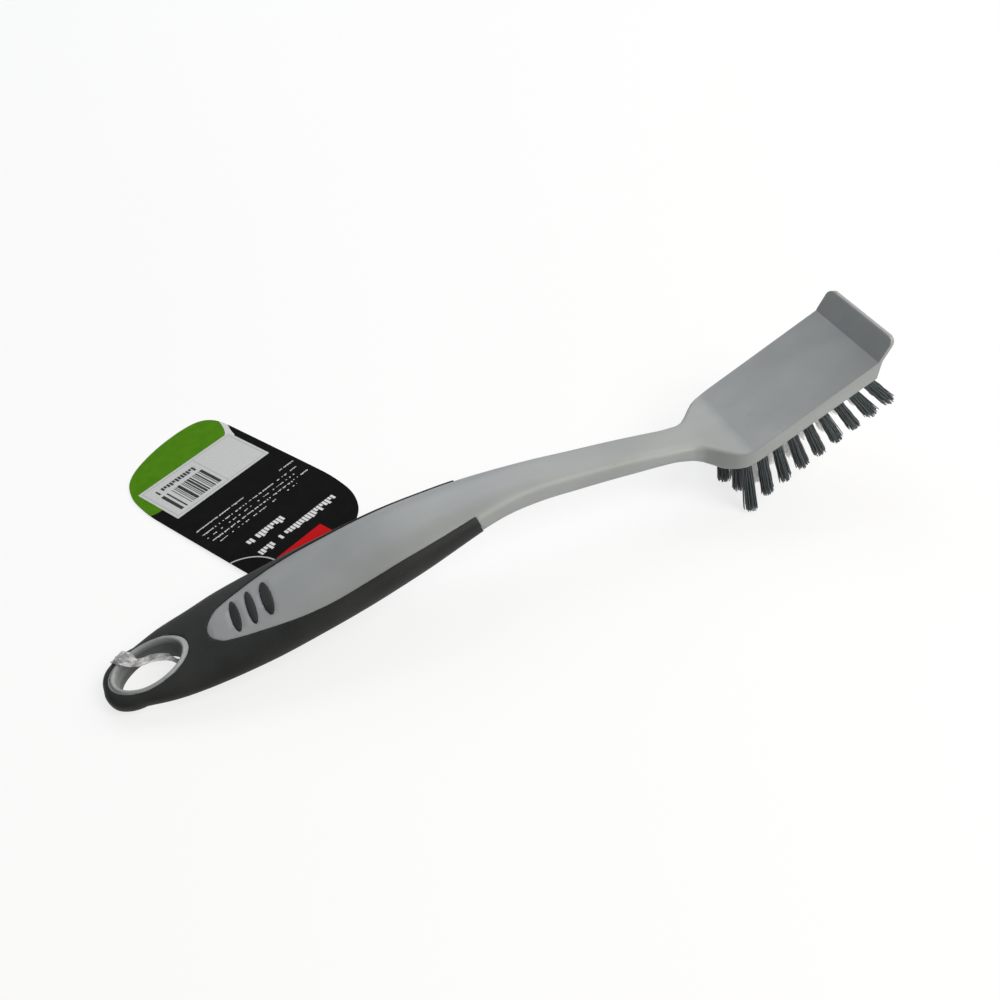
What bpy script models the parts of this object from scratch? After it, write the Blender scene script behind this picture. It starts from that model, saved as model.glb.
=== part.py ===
"""Dish brush with a soft grip, a scraper lip, tufted bristles and a hang tag on a clear strap.

The brush lies on the plane Z = 0 with its handle along X: free end at low X, head at high X.
Its plane of symmetry is Y = 0. The origin is the middle of the flat under the free end.
Lengths are in metres and angles in degrees. A "run" is a distance from the free end along X.
"""
import math

import bmesh
import bpy
import numpy as np
from mathutils import Matrix, Vector

# Clearances and cutting
FIT_GAP = 0.0003
CUT_OVERRUN = 0.010

# Handle and neck
HANDLE_LENGTH = 0.2230
ARCH_HEIGHT = 0.0344
GRIP_WIDTH = 0.0388
GRIP_SWELL = 0.0076
NECK_WIDTH = 0.0147
NECK_THICKNESS = 0.0086
NOSE_LENGTH = 0.0120
NOSE_ROUND = 0.0032
REST_RUN = 0.0034

# Head and scraper lip
HEAD_LENGTH = 0.0476
HEAD_WIDTH = 0.0380
HEAD_THICKNESS = 0.0052
HEAD_DEEPER = 0.0010
HEAD_TILT = 22.8
LIP_HEIGHT = 0.0091
LIP_ROOT = 0.0036
LIP_LEAN = 55.0
LIP_CORNER = 0.0024
LIP_SLANT = 0.0006

# Soft grip, grey panel and thumb pads
GRIP_LENGTH = 0.1287
GRIP_END_SLANT = 16.0
SKIN_THICKNESS = 0.0021
SKIN_PROUD = 0.0004
PANEL_RUN = 0.0364
PAD_RUN = 0.0463
PAD_PITCH = 0.0056
PAD_LENGTH = 0.0156

# Hanging eye
EYE_RUN = 0.0157
EYE_LENGTH = 0.0240
EYE_WIDTH = 0.0184
EYE_DRAFT = 0.0012
RIM_END = 0.0018
RIM_SIDE = 0.0010

# Bristle tufts
TUFT_ROWS = 9
FIRST_ROW_INSET = 0.0003
FIRST_ROW_STEP = 0.0014
LAST_ROW_INSET = 0.0028
SIDE_INSET = 0.0029
HOLE_RADIUS = 0.0019
HOLE_DEPTH = 0.0040
ROOT_STAND = 0.0003
STRAND_SPREAD = 0.0013
STRANDS = 7
FIRST_LEAN = 2.0
LAST_LEAN = 40.0
SIDE_SPLAY = 7.5
TRIM_TILT = 24.3
TRIM_HEIGHT = 0.0018

# Hang tag, its label and the clear strap
TAG_LENGTH = 0.1080
TAG_WIDTH = 0.0546
CARD_THICKNESS = 0.0005
CARD_LIFT = 0.0010
TAG_HOLE_RADIUS = 0.0030
TAG_HOLE_INSET = 0.0090
TAG_AHEAD = 0.0731
TAG_ASIDE = 0.0152
TAG_HEADING = 118.3
LABEL_LENGTH = 0.0249
LABEL_WIDTH = 0.0460
LABEL_THICKNESS = 0.0002
STRAP_WIDTH = 0.0058
STRAP_THICKNESS = 0.0003

# Outlines, as (share of the handle's length, share of the size that each one follows)
SWELL_SHARES = (
    (0.054, 0.46), (0.090, 0.71), (0.135, 0.881), (0.180, 0.966), (0.225, 1.0), (0.270, 0.983),
    (0.360, 0.907), (0.449, 0.729), (0.494, 0.627), (0.539, 0.500), (0.584, 0.347), (0.629, 0.195),
    (0.674, 0.102), (0.742, 0.042), (0.831, 0.008), (0.921, 0.0), (1.2, 0.0))
FLARE_SHARES = (
    (0.0, 0.0), (0.921, 0.0), (0.935, 0.04), (0.946, 0.14), (0.957, 0.34), (0.971, 0.62),
    (0.984, 0.84), (0.9955, 0.95), (1.007, 0.99), (1.02, 1.0), (1.3, 1.0))
BACK_SHARES = (
    (0.0137, 0.201), (0.0362, 0.230), (0.0677, 0.267), (0.0992, 0.304), (0.1352, 0.349), (0.1802, 0.431),
    (0.2253, 0.507), (0.2703, 0.586), (0.3153, 0.660), (0.3603, 0.736), (0.4054, 0.824), (0.4504, 0.897),
    (0.4954, 0.941), (0.5405, 0.970), (0.5855, 0.988), (0.6304, 0.995), (0.6752, 0.981), (0.7424, 0.935),
    (0.8320, 0.867), (0.9214, 0.773), (0.9530, 0.742), (0.9796, 0.727), (1.0, 0.730))
DEPTH_SHARES = (
    (0.0137, -0.184), (0.0362, -0.091), (0.0677, -0.068), (0.0992, -0.055), (0.1352, -0.040), (0.1802, 0.098),
    (0.2253, 0.246), (0.2703, 0.441), (0.3153, 0.546), (0.3603, 0.678), (0.4054, 0.899), (0.4504, 0.990),
    (0.4954, 0.860), (0.5405, 0.599), (0.5855, 0.339), (0.6304, 0.210), (0.6752, 0.146), (0.7424, 0.081),
    (0.8320, 0.0), (0.9214, -0.150), (0.9438, -0.095), (0.9570, -0.035), (0.9685, -0.010))
MIDDLE_SHARES = ((0.0, 0.65), (0.09, 0.62), (0.16, 0.54), (0.25, 0.5), (1.3, 0.5))
UNDERSIDE_SHARE = 0.9685
ROUND_SHARES = (
    (0.0, (0.62, 0.95, 0.80, 0.95)), (0.12, (0.66, 0.95, 0.80, 0.95)), (0.22, (0.90, 0.95, 0.90, 0.95)),
    (0.52, (0.90, 0.95, 0.90, 0.95)), (0.60, (0.75, 0.85, 0.90, 0.95)), (0.70, (0.50, 0.70, 0.85, 0.95)),
    (0.90, (0.50, 0.70, 0.85, 0.95)), (0.96, (0.26, 0.45, 0.45, 0.60)), (1.0, (0.02, 0.12, 0.03, 0.18)),
    (1.3, (0.02, 0.12, 0.03, 0.18)))
STATION_SHARES = (
    0.076, 0.104, 0.135, 0.162, 0.194, 0.234, 0.279, 0.324, 0.369, 0.414, 0.455, 0.494, 0.533, 0.575,
    0.618, 0.661, 0.710, 0.770, 0.835, 0.895, 0.922, 0.936, 0.948, 0.9585, 0.9685, 0.979, 0.989, 1.0,
    1.009, 1.02)
NOSE_SHARES = (0.0, 0.03, 0.10, 0.20, 0.32, 0.50, 0.72, 1.0)
NOSE_BLUNT_SHARE = 0.985
NOSE_POWER_SHARE = 0.85

# Panel outline, as (share of the panel's length, share of the handle's half width there)
PANEL_SHARES = (
    (0.0, 0.03), (0.003, 0.10), (0.010, 0.185), (0.022, 0.272), (0.042, 0.375), (0.075, 0.45),
    (0.12, 0.52), (0.18, 0.60), (0.25, 0.69), (0.32, 0.76), (0.40, 0.81), (0.50, 0.835), (0.65, 0.86),
    (0.85, 0.86), (1.07, 0.85))
PANEL_FLOOR_SHARE = 0.41
# Share of the grip's length, then how much of its height over the panel the skin has there
PROUD_SHARES = ((0.0, 0.0), (0.23, 0.0), (0.27, 0.25), (0.31, 0.75), (0.35, 1.0), (1.0, 1.0))
PAD_SHARES = ((0.93, 0.18), (1.0, 0.17), (1.0, 0.22))
# Lip: share of its height, then its thickness there, and how far its front has turned up from the head
LIP_THICK_SHARES = ((0.0, 0.42), (0.1, 0.39), (0.5, 0.38), (1.0, 0.37))
LIP_TURN_SHARES = ((0.0, 0.0), (0.035, 0.33), (0.07, 0.68), (0.105, 1.0), (1.0, 1.0))
LIP_LOW_SHARES = (0.035, 0.07, 0.105, 0.35)
# Share of the lip's height, then how much of the slant of its upper edge its front has there
LIP_SLANT_SHARES = ((0.0, 0.0), (0.6, 0.0), (1.0, 1.0))
# Tufts across each kind of row, and which ones of the first row stand a step ahead
FIRST_ROW_SHARES = (-1.0, -0.46, 0.0, 0.46, 1.0)
FIRST_STEP_SHARES = (0.0, 1.0, 0.0, 1.0, 0.0)
FULL_ROW_SHARES = (-1.0, -0.667, -0.333, 0.0, 0.333, 0.667, 1.0)
ODD_ROW_SHARES = (-1.0, -0.58, -0.2, 0.2, 0.58, 1.0)
EVEN_ROW_SHARES = (-1.0, -0.42, 0.0, 0.42, 1.0)
PLUG_SHARE = 0.74
STRAND_SIZE_SHARE = 0.62
TAG_END_SHARES = (
    (0.278, 1.0), (0.398, 0.993), (0.528, 0.962), (0.648, 0.915), (0.750, 0.824), (0.830, 0.708),
    (0.893, 0.537), (0.937, 0.327), (0.970, 0.102), (0.991, -0.131), (1.0, -0.345), (1.0, -0.526),
    (0.991, -0.690), (0.967, -0.820), (0.926, -0.911), (0.861, -0.973), (0.778, -0.995), (0.685, -1.0))
TAG_HOLE_SIDE_SHARE = 0.208
LABEL_FAR_SHARE = 0.6250
LABEL_SIDE_SHARE = -0.011

# Strap where it crosses the eye and its rim: shares of the eye's half length and half width from
# its centre and of the rim's height, then the width's heading and tilt in degrees and its share
STRAP_EYE_SHARES = (
    (1.36, 0.80, 0.054, 122, 0, 0.56), (1.02, 0.50, 0.075, 112, 0, 0.54), (0.76, 0.41, 0.205, 103, 16, 0.48),
    (0.55, 0.57, 0.42, 95, 38, 0.46), (0.28, 0.68, 0.51, 90, 44, 0.44), (0.03, 0.69, 0.57, 84, 44, 0.44),
    (-0.19, 0.60, 0.65, 72, 34, 0.44), (-0.34, 0.52, 0.79, 58, 16, 0.52), (-0.47, 0.59, 0.925, 46, 5, 0.84),
    (-0.60, 0.79, 0.935, 38, 4, 0.98), (-0.71, 0.99, 0.865, 37, 2, 0.94), (-0.815, 1.24, 0.655, 38, 0, 0.78),
    (-0.86, 1.385, 0.40, 43, 0, 0.66), (-0.83, 1.48, 0.17, 60, 0, 0.60), (-0.67, 1.59, 0.056, 90, 0, 0.58),
    (-0.35, 1.76, 0.054, 103, 0, 0.56))
# Strap between the eye and the tag: share of the way to the tag's hole and of the card's lift
STRAP_BACK_SHARES = ((0.22, 0.5), (0.38, 0.5), (0.60, 2.1), (0.78, 2.1), (0.93, 2.05))
STRAP_UNDER_SHARES = ((0.93, 0.5), (0.72, 0.5), (0.45, 0.5), (0.20, 0.5))
# Strap in the tag's hole: share of the hole's radius and of the card's lift, then the heading
STRAP_HOLE_SHARES = (
    (0.40, 2.0, 108), (0.02, 1.78, 112), (-0.10, 1.25, 116), (0.02, 0.72, 120), (0.40, 0.5, 124))
STRAP_TAIL_SHARE = 0.56
STRAP_STEPS = 3

SECTION_STEPS = 5
BURIED_STEPS = 3
LIP_CORNER_STEPS = 3
EYE_SIDES = 36
PAD_SIDES = 18
HOLE_SIDES = 8
FULL_TURN = math.radians(360)
QUARTER_TURN = math.radians(90)
CREASE_ANGLE = math.radians(35)


def spline(table, at):
    """Value of a smooth curve through the (place, value) pairs, held flat past both ends."""
    places = np.array([row[0] for row in table], float)
    values = np.array([row[1] for row in table], float)
    if at <= places[0]:
        return values[0]
    if at >= places[-1]:
        return values[-1]
    slopes = np.gradient(values, places, axis=0)
    i = int(np.searchsorted(places, at, side="right")) - 1
    step = places[i + 1] - places[i]
    u = (at - places[i]) / step
    rise = u * u * (3 - 2 * u)
    start = u * (1 - u) ** 2 * step
    end = -u * u * (1 - u) * step
    return values[i] * (1 - rise) + values[i + 1] * rise + slopes[i] * start + slopes[i + 1] * end


def straight(table, at):
    """Value of the straight lines through the (place, value) pairs."""
    places = [row[0] for row in table]
    columns = np.array([row[1] for row in table], float)
    if columns.ndim == 1:
        return float(np.interp(at, places, columns))
    return [float(np.interp(at, places, column)) for column in columns.T]


def middle_height(run, low, high):
    """Height of the widest part of a section."""
    return low + (high - low) * straight(MIDDLE_SHARES, run / HANDLE_LENGTH)


def bulge(share):
    """Round nose: from almost nothing at share 0 to 1 at share 1 and beyond."""
    left = (1 - min(max(share, 0.0), 1.0)) * NOSE_BLUNT_SHARE
    return math.sqrt(1 - left * left)


def head_back(run):
    """Height of the head's flat back at a run, on from the crease."""
    crease = ARCH_HEIGHT * BACK_SHARES[-1][1]
    return crease + math.tan(math.radians(HEAD_TILT)) * (run - HANDLE_LENGTH)


def head_underside(run):
    """Height of the head's flat underside at a run."""
    thickness = HEAD_THICKNESS + HEAD_DEEPER * (run - HANDLE_LENGTH) / HEAD_LENGTH
    return head_back(run) - thickness / math.cos(math.radians(HEAD_TILT))


def half_width(run):
    """Half the width of the handle, neck or head at a run, before the nose is rounded."""
    share = run / HANDLE_LENGTH
    swell = (GRIP_WIDTH - NECK_WIDTH) / 2 * spline(SWELL_SHARES, share)
    flare = (HEAD_WIDTH - NECK_WIDTH) / 2 * straight(FLARE_SHARES, share)
    return NECK_WIDTH / 2 + swell + flare


def heights(run):
    """Lowest and highest point of the outer shape at a run, before the nose is rounded."""
    share = run / HANDLE_LENGTH
    top = head_back(run) if share >= 1 else ARCH_HEIGHT * spline(BACK_SHARES, share)
    if share >= UNDERSIDE_SHARE:
        return head_underside(run), top
    return top - NECK_THICKNESS - GRIP_SWELL * spline(DEPTH_SHARES, share), top


def section_sizes(run, inset):
    """Half width, low, middle and high of the section at a run, drawn in by an inset."""
    low, high = heights(run)
    middle = middle_height(run, low, high)
    nose = bulge((run - inset) / (NOSE_LENGTH - inset)) ** NOSE_POWER_SHARE
    half = (half_width(max(run, NOSE_LENGTH)) - inset) * nose
    upright = bulge((run - inset) / max(NOSE_ROUND - inset, FIT_GAP))
    low = middle - (middle - low - inset) * upright
    high = middle + (high - middle - inset) * upright
    return half, low, middle, high


def section(run, inset=0.0, steps=SECTION_STEPS):
    """Points round the outer shape at a run: four rounded corners, none below the table."""
    half, low, middle, high = section_sizes(run, inset)
    shares = straight(ROUND_SHARES, run / HANDLE_LENGTH)
    spots = [Vector((run - REST_RUN, 0, z)) for z in (low, middle, high)]
    points = rounded_ring(half, *spots, shares, steps)
    for point in points:
        point.z = max(point.z, inset)
    return points


def rounded_ring(half, low, middle, high, shares, steps=SECTION_STEPS):
    """Points round a section with four rounded corners, from its lowest, middle and highest point."""
    corners = ((1, high, shares[:2]), (-1, high, shares[:2]), (-1, low, shares[2:]), (1, low, shares[2:]))
    points = []
    for number, (side, edge, (across_share, up_share)) in enumerate(corners):
        across = half * across_share
        up = (edge - middle) * up_share
        for step in range(steps + 1):
            turn = QUARTER_TURN * step / steps
            if number % 2:
                turn = QUARTER_TURN - turn
            aside = side * (half - across + across * math.cos(turn))
            points.append(edge - up + up * math.sin(turn) + Vector((0, aside, 0)))
    return points


def make_object(name, shape, material=None):
    """Object from a bmesh, with closed faces turned outwards."""
    bmesh.ops.recalc_face_normals(shape, faces=shape.faces)
    mesh = bpy.data.meshes.new(name)
    shape.to_mesh(mesh)
    shape.free()
    made = bpy.data.objects.new(name, mesh)
    bpy.context.scene.collection.objects.link(made)
    if material:
        mesh.materials.append(material)
    return made


def loft(name, rings, material=None, closed=False):
    """Solid through rings of equally many points: capped at both ends, or joined end to start."""
    shape = bmesh.new()
    loops = [[shape.verts.new(point) for point in ring] for ring in rings]
    pairs = list(zip(loops, loops[1:])) + ([(loops[-1], loops[0])] if closed else [])
    count = len(loops[0])
    for first, second in pairs:
        for i in range(count):
            j = (i + 1) % count
            shape.faces.new((first[i], first[j], second[j], second[i]))
    bmesh.ops.triangulate(shape, faces=shape.faces)
    if not closed:
        shape.faces.new(loops[0])
        shape.faces.new(loops[-1])
    return make_object(name, shape, material)


def prism(name, outline, low, high, material=None):
    """Upright solid over an outline of (x, y) points, between two heights."""
    rings = [[Vector((x, y, z)) for x, y in outline] for z in (low, high)]
    return loft(name, rings, material)


def combine(body, tool, operation):
    """Joins, cuts or trims a body with a tool, which is used up."""
    change = body.modifiers.new(operation, "BOOLEAN")
    change.operation = operation
    change.solver = "EXACT"
    change.object = tool
    graph = bpy.context.evaluated_depsgraph_get()
    old = body.data
    body.data = bpy.data.meshes.new_from_object(body.evaluated_get(graph))
    body.modifiers.clear()
    bpy.data.meshes.remove(old)
    bpy.data.objects.remove(tool)
    return body


def plastic(name, colour, roughness, alpha=1.0):
    """Plain surface with a colour, a roughness and an alpha."""
    material = bpy.data.materials.new(name)
    material.use_nodes = True
    surface = material.node_tree.nodes["Principled BSDF"]
    surface.inputs["Base Color"].default_value = (*colour, 1.0)
    surface.inputs["Roughness"].default_value = roughness
    surface.inputs["Alpha"].default_value = alpha
    return material


def smooth(made):
    """Smooth shading, with crisp creases."""
    made.data.shade_smooth()
    made.data.set_sharp_from_angle(angle=CREASE_ANGLE)
    return made


def outer_runs(inset):
    """Runs of the sections, from the rounded nose to the head's front."""
    nose = [inset + (NOSE_LENGTH - inset) * share for share in NOSE_SHARES]
    rest = [HANDLE_LENGTH * share for share in STATION_SHARES]
    return nose + [run for run in rest if run > NOSE_LENGTH]


def lip_stations():
    """Heights up the lip's back face, each with the lip's half width there."""
    half = HEAD_WIDTH / 2
    rows = [(LIP_HEIGHT * share, half) for share in LIP_LOW_SHARES]
    for step in range(LIP_CORNER_STEPS + 1):
        turn = QUARTER_TURN * step / LIP_CORNER_STEPS
        rise = LIP_HEIGHT - LIP_CORNER + LIP_CORNER * math.sin(turn)
        rows.append((rise, half - LIP_CORNER + LIP_CORNER * math.cos(turn)))
    return rows


def lip_rings(steps=SECTION_STEPS):
    """Sections that turn up from the head's front into the scraper lip."""
    lean = math.radians(LIP_LEAN)
    along = Vector((math.cos(lean), 0, math.sin(lean)))
    outward = Vector((math.sin(lean), 0, -math.cos(lean)))
    front = HANDLE_LENGTH + HEAD_LENGTH
    root = Vector((front - REST_RUN, 0, head_back(front)))
    foot = Vector((front - REST_RUN, 0, head_underside(front)))
    shares = straight(ROUND_SHARES, front / HANDLE_LENGTH)
    rings = []
    for rise, half in lip_stations():
        share = rise / LIP_HEIGHT
        back = root + along * rise
        slant = along * LIP_SLANT * straight(LIP_SLANT_SHARES, share)
        face = back + slant + outward * LIP_ROOT * straight(LIP_THICK_SHARES, share)
        face = foot.lerp(face, straight(LIP_TURN_SHARES, share))
        rings.append(rounded_ring(half, face, (face + back) / 2, back, shares, steps))
    return rings


def outer_shape(proud=0.0):
    """The whole outer shape: handle, neck, flare, head and lip, raised by a length from the panel on."""
    rings = []
    for run in outer_runs(0.0) + [HANDLE_LENGTH + HEAD_LENGTH]:
        rings.append(section(run, -proud * straight(PROUD_SHARES, run / GRIP_LENGTH)))
    return loft("outer", rings + lip_rings())


def panel_prism(grow):
    """Space of the grey panel in the grip's top, from the middle of the handle up."""
    length = GRIP_LENGTH - PANEL_RUN
    rings = []
    for along_share, across_share in PANEL_SHARES:
        run = PANEL_RUN + length * along_share - grow
        half = half_width(run) * across_share + grow
        low, high = heights(run)
        floor = low + (high - low) * PANEL_FLOOR_SHARE - grow
        top = high + CUT_OVERRUN
        x = run - REST_RUN
        corners = ((-half, floor), (half, floor), (half, top), (-half, top))
        rings.append([Vector((x, y, z)) for y, z in corners])
    return loft("panel", rings)


def oval(length, width, ahead, sides=EYE_SIDES):
    """Points round an ellipse centred on the handle's middle line."""
    turns = [FULL_TURN * step / sides for step in range(sides)]
    return [(ahead + length / 2 * math.cos(turn), width / 2 * math.sin(turn)) for turn in turns]


def rim_prism(grow):
    """Space of the grey rim round the hanging eye, right through the handle."""
    length = EYE_LENGTH + RIM_END * 2 + grow * 2
    width = EYE_WIDTH + RIM_SIDE * 2 + grow * 2
    return prism("rim", oval(length, width, EYE_RUN - REST_RUN), -CUT_OVERRUN, ARCH_HEIGHT)


def eye_cutter():
    """The hanging eye, a little narrower at the table than at the top."""
    high = heights(EYE_RUN)[1]
    slope = EYE_DRAFT / high
    rings = []
    for z in (-CUT_OVERRUN, high + CUT_OVERRUN):
        draft = slope * (high - z)
        outline = oval(EYE_LENGTH - draft * 2, EYE_WIDTH - draft, EYE_RUN - REST_RUN)
        rings.append([Vector((x, y, z)) for x, y in outline])
    return loft("eye", rings)


def neck_block(grow):
    """Space past the grip's slanted front end, which holds the neck and the head."""
    low, high = heights(GRIP_LENGTH)
    middle = middle_height(GRIP_LENGTH, low, high)
    slant = math.radians(GRIP_END_SLANT)
    facing = Vector((math.cos(slant), 0, math.sin(slant)))
    down = Vector((math.sin(slant), 0, -math.cos(slant)))
    start = Vector((GRIP_LENGTH - REST_RUN, 0, middle)) - facing * grow
    reach = HANDLE_LENGTH + HEAD_LENGTH
    rings = []
    for y in (-GRIP_WIDTH - HEAD_WIDTH, GRIP_WIDTH + HEAD_WIDTH):
        corners = (
            start - down * reach, start + down * reach,
            start + down * reach + facing * reach, start - down * reach + facing * reach)
        rings.append([corner + Vector((0, y, 0)) for corner in corners])
    return loft("neck", rings)


def buried_core(grow):
    """Core under the soft skin, running on past the grip's front end."""
    inset = SKIN_THICKNESS - grow
    last = GRIP_LENGTH + NOSE_LENGTH
    runs = [run for run in outer_runs(SKIN_THICKNESS)[2::2] if run < last]
    return loft("buried", [section(run, inset, BURIED_STEPS) for run in [inset] + runs])


def hard_space(grow):
    """Everything that the hard core may fill: buried core, panel, rim and neck."""
    space = buried_core(grow)
    for tool in (panel_prism(grow), rim_prism(grow), neck_block(grow)):
        combine(space, tool, "UNION")
    return space


def pad_prisms(grow):
    """The oval thumb pads, right through the handle."""
    pads = []
    for number, (length_share, width_share) in enumerate(PAD_SHARES):
        ahead = PAD_RUN + PAD_PITCH * number - REST_RUN
        width, length = PAD_LENGTH * width_share, PAD_LENGTH * length_share
        outline = oval(width + grow * 2, length + grow * 2, ahead, PAD_SIDES)
        pads.append(prism(f"pad_{number}", outline, -CUT_OVERRUN, ARCH_HEIGHT + CUT_OVERRUN))
    return pads


def row_shares(row):
    """Shares of the tufts' reach across the head, for the tufts in a row."""
    if row == 0:
        return FIRST_ROW_SHARES
    if row == TUFT_ROWS - 1:
        return FULL_ROW_SHARES
    return ODD_ROW_SHARES if row % 2 else EVEN_ROW_SHARES


def tuft_places():
    """Root place, outward direction and row and column of every tuft."""
    tilt = math.radians(HEAD_TILT)
    first = HANDLE_LENGTH - FIRST_ROW_INSET
    last = HANDLE_LENGTH + HEAD_LENGTH - LAST_ROW_INSET
    side = HEAD_WIDTH / 2 - SIDE_INSET
    places = []
    for row in range(TUFT_ROWS):
        along = row / (TUFT_ROWS - 1)
        run = first + (last - first) * along
        lean = math.radians(FIRST_LEAN + (LAST_LEAN - FIRST_LEAN) * along)
        for column, share in enumerate(row_shares(row)):
            splay = math.tan(math.radians(SIDE_SPLAY)) * share
            step = 0.0 if row else FIRST_ROW_STEP * FIRST_STEP_SHARES[column]
            root = Vector((run + step - REST_RUN, side * share, head_underside(run + step)))
            direction = Vector((math.sin(lean), splay, -math.cos(lean))).normalized()
            places.append((root, direction, row, column))
    return places


def tuft_frame(root, direction):
    """Placement of a tuft: its own Z leaves the head, its own Y stays across the brush."""
    ahead = Vector((0, 1, 0)).cross(direction).normalized()
    across = direction.cross(ahead)
    return Matrix.Translation(root) @ Matrix((ahead, across, direction)).transposed().to_4x4()


def hole_cutters():
    """One blind hole for each tuft, as separate round bodies in one cutter."""
    shape = bmesh.new()
    for root, direction, row, column in tuft_places():
        centre = (HOLE_RADIUS * 2 - HOLE_DEPTH) / 2
        place = tuft_frame(root, direction) @ Matrix.Translation((0, 0, centre))
        bmesh.ops.create_cone(
            shape, cap_ends=True, segments=HOLE_SIDES, radius1=HOLE_RADIUS, radius2=HOLE_RADIUS,
            depth=HOLE_RADIUS * 2 + HOLE_DEPTH, matrix=place)
    return make_object("holes", shape)


def strand_end(point, direction, planes):
    """Distance along a strand to the first plane that trims it."""
    return min((place - point).dot(normal) / direction.dot(normal) for place, normal in planes)


def trim_planes(row):
    """Planes that trim the tips in a row: the table for the first, a slanted cut for the rest."""
    table = (Vector((0, 0, 0)), Vector((0, 0, -1)))
    slant = math.radians(TRIM_TILT)
    normal = Vector((math.sin(slant), 0, -math.cos(slant)))
    cut = (Vector((HANDLE_LENGTH - REST_RUN, 0, TRIM_HEIGHT)), normal)
    return [cut] if row else [table]


def bristle_tuft(name, root, direction, row, material):
    """One tuft: a round root that fills its hole, with straight strands fused to it."""
    place = tuft_frame(root, direction)
    turn_back = place.inverted()
    planes = [(turn_back @ spot, turn_back.to_3x3() @ normal) for spot, normal in trim_planes(row)]
    radius = HOLE_RADIUS * PLUG_SHARE
    bottom = FIT_GAP - HOLE_DEPTH
    shape = bmesh.new()
    rings = []
    for z in (bottom, ROOT_STAND):
        turns = [FULL_TURN * step / STRANDS for step in range(STRANDS)]
        rings.append([shape.verts.new((radius * math.cos(t), radius * math.sin(t), z)) for t in turns])
    for i in range(STRANDS):
        j = (i + 1) % STRANDS
        shape.faces.new((rings[0][i], rings[0][j], rings[1][j], rings[1][i]))
    shape.faces.new(rings[0][::-1])
    cap = shape.faces.new(rings[1])
    wedges = bmesh.ops.poke(shape, faces=[cap])["faces"]
    reach = strand_end(Vector((0, 0, ROOT_STAND)), Vector((0, 0, 1)), planes)
    for number, wedge in enumerate(wedges):
        middle = wedge.calc_center_median()
        seat = bmesh.ops.extrude_discrete_faces(shape, faces=[wedge])["faces"][0]
        corners = list(seat.verts)
        footing = [middle + (corner.co - middle) * STRAND_SIZE_SHARE for corner in corners]
        for corner, foot in zip(corners, footing):
            corner.co = foot
        strand = bmesh.ops.extrude_discrete_faces(shape, faces=[seat])["faces"][0]
        spread = STRAND_SPREAD if number % 2 else 0.0
        away = Vector((middle.x, middle.y, 0)).normalized() * spread / reach
        course = (Vector((0, 0, 1)) + away).normalized()
        for corner in strand.verts:
            corner.co += course * strand_end(corner.co, course, planes)
    tuft = make_object(name, shape, material)
    tuft.matrix_world = place
    return tuft


def core_body(material):
    """Hard body: buried core, panel, rim, neck, head and lip, with all its holes."""
    core = outer_shape()
    combine(core, hard_space(0.0), "INTERSECT")
    for pad in pad_prisms(FIT_GAP):
        combine(core, pad, "DIFFERENCE")
    combine(core, eye_cutter(), "DIFFERENCE")
    combine(core, hole_cutters(), "DIFFERENCE")
    core.name = "core_body"
    core.data.materials.clear()
    core.data.materials.append(material)
    return smooth(core)


def soft_grip(material):
    """Soft skin round the handle, with the thumb pads that rise through the core."""
    space = hard_space(FIT_GAP)
    for pad in pad_prisms(0.0):
        combine(space, pad, "DIFFERENCE")
    grip = outer_shape(SKIN_PROUD)
    combine(grip, space, "DIFFERENCE")
    grip.name = "soft_grip"
    grip.data.materials.clear()
    grip.data.materials.append(material)
    return smooth(grip)


def is_pale(row, column):
    """Whether a tuft is pale: those that are not in the outer ring."""
    return 0 < row < TUFT_ROWS - 1 and 0 < column < len(row_shares(row)) - 1


def bristle_tufts(dark, pale):
    """Every tuft, dark or pale."""
    for root, direction, row, column in tuft_places():
        material = pale if is_pale(row, column) else dark
        bristle_tuft(f"tuft_{row + 1}_{column + 1}", root, direction, row, material)


def tag_frame():
    """Placement of the tag: its own origin is its hole, its own X runs to its far end."""
    turn = Matrix.Rotation(math.radians(TAG_HEADING), 4, "Z")
    aside = GRIP_WIDTH / 2 + TAG_ASIDE
    return Matrix.Translation((TAG_AHEAD - REST_RUN, aside, 0)) @ turn


def tag_outline():
    """Outline of the tag round its hole: two skew round ends, each the other turned about."""
    end = [(TAG_LENGTH / 2 * x, TAG_WIDTH / 2 * y) for x, y in TAG_END_SHARES]
    hole_x = TAG_LENGTH / 2 - TAG_HOLE_INSET
    hole_y = TAG_WIDTH * TAG_HOLE_SIDE_SHARE
    return [(x + hole_x, y - hole_y) for x, y in end + [(-x, -y) for x, y in end]]


def card_height(x):
    """Height of the card's underside at a distance along the tag from its hole."""
    far = TAG_LENGTH - TAG_HOLE_INSET
    return CARD_LIFT * (far - x) / far


def card_slab(name, outline, below, thickness, material):
    """Thin slab that follows the card's slope, a distance above its underside."""
    rings = [[Vector((x, y, card_height(x) + z)) for x, y in outline] for z in (below, below + thickness)]
    return loft(name, rings, material)


def hang_tag(material):
    """The card, with the round hole that the strap goes through."""
    card = card_slab("hang_tag", tag_outline(), 0.0, CARD_THICKNESS, material)
    hole = oval(TAG_HOLE_RADIUS * 2, TAG_HOLE_RADIUS * 2, 0, PAD_SIDES)
    combine(card, prism("hole", hole, -CUT_OVERRUN, CUT_OVERRUN), "DIFFERENCE")
    card.matrix_world = tag_frame()
    return card


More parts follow.
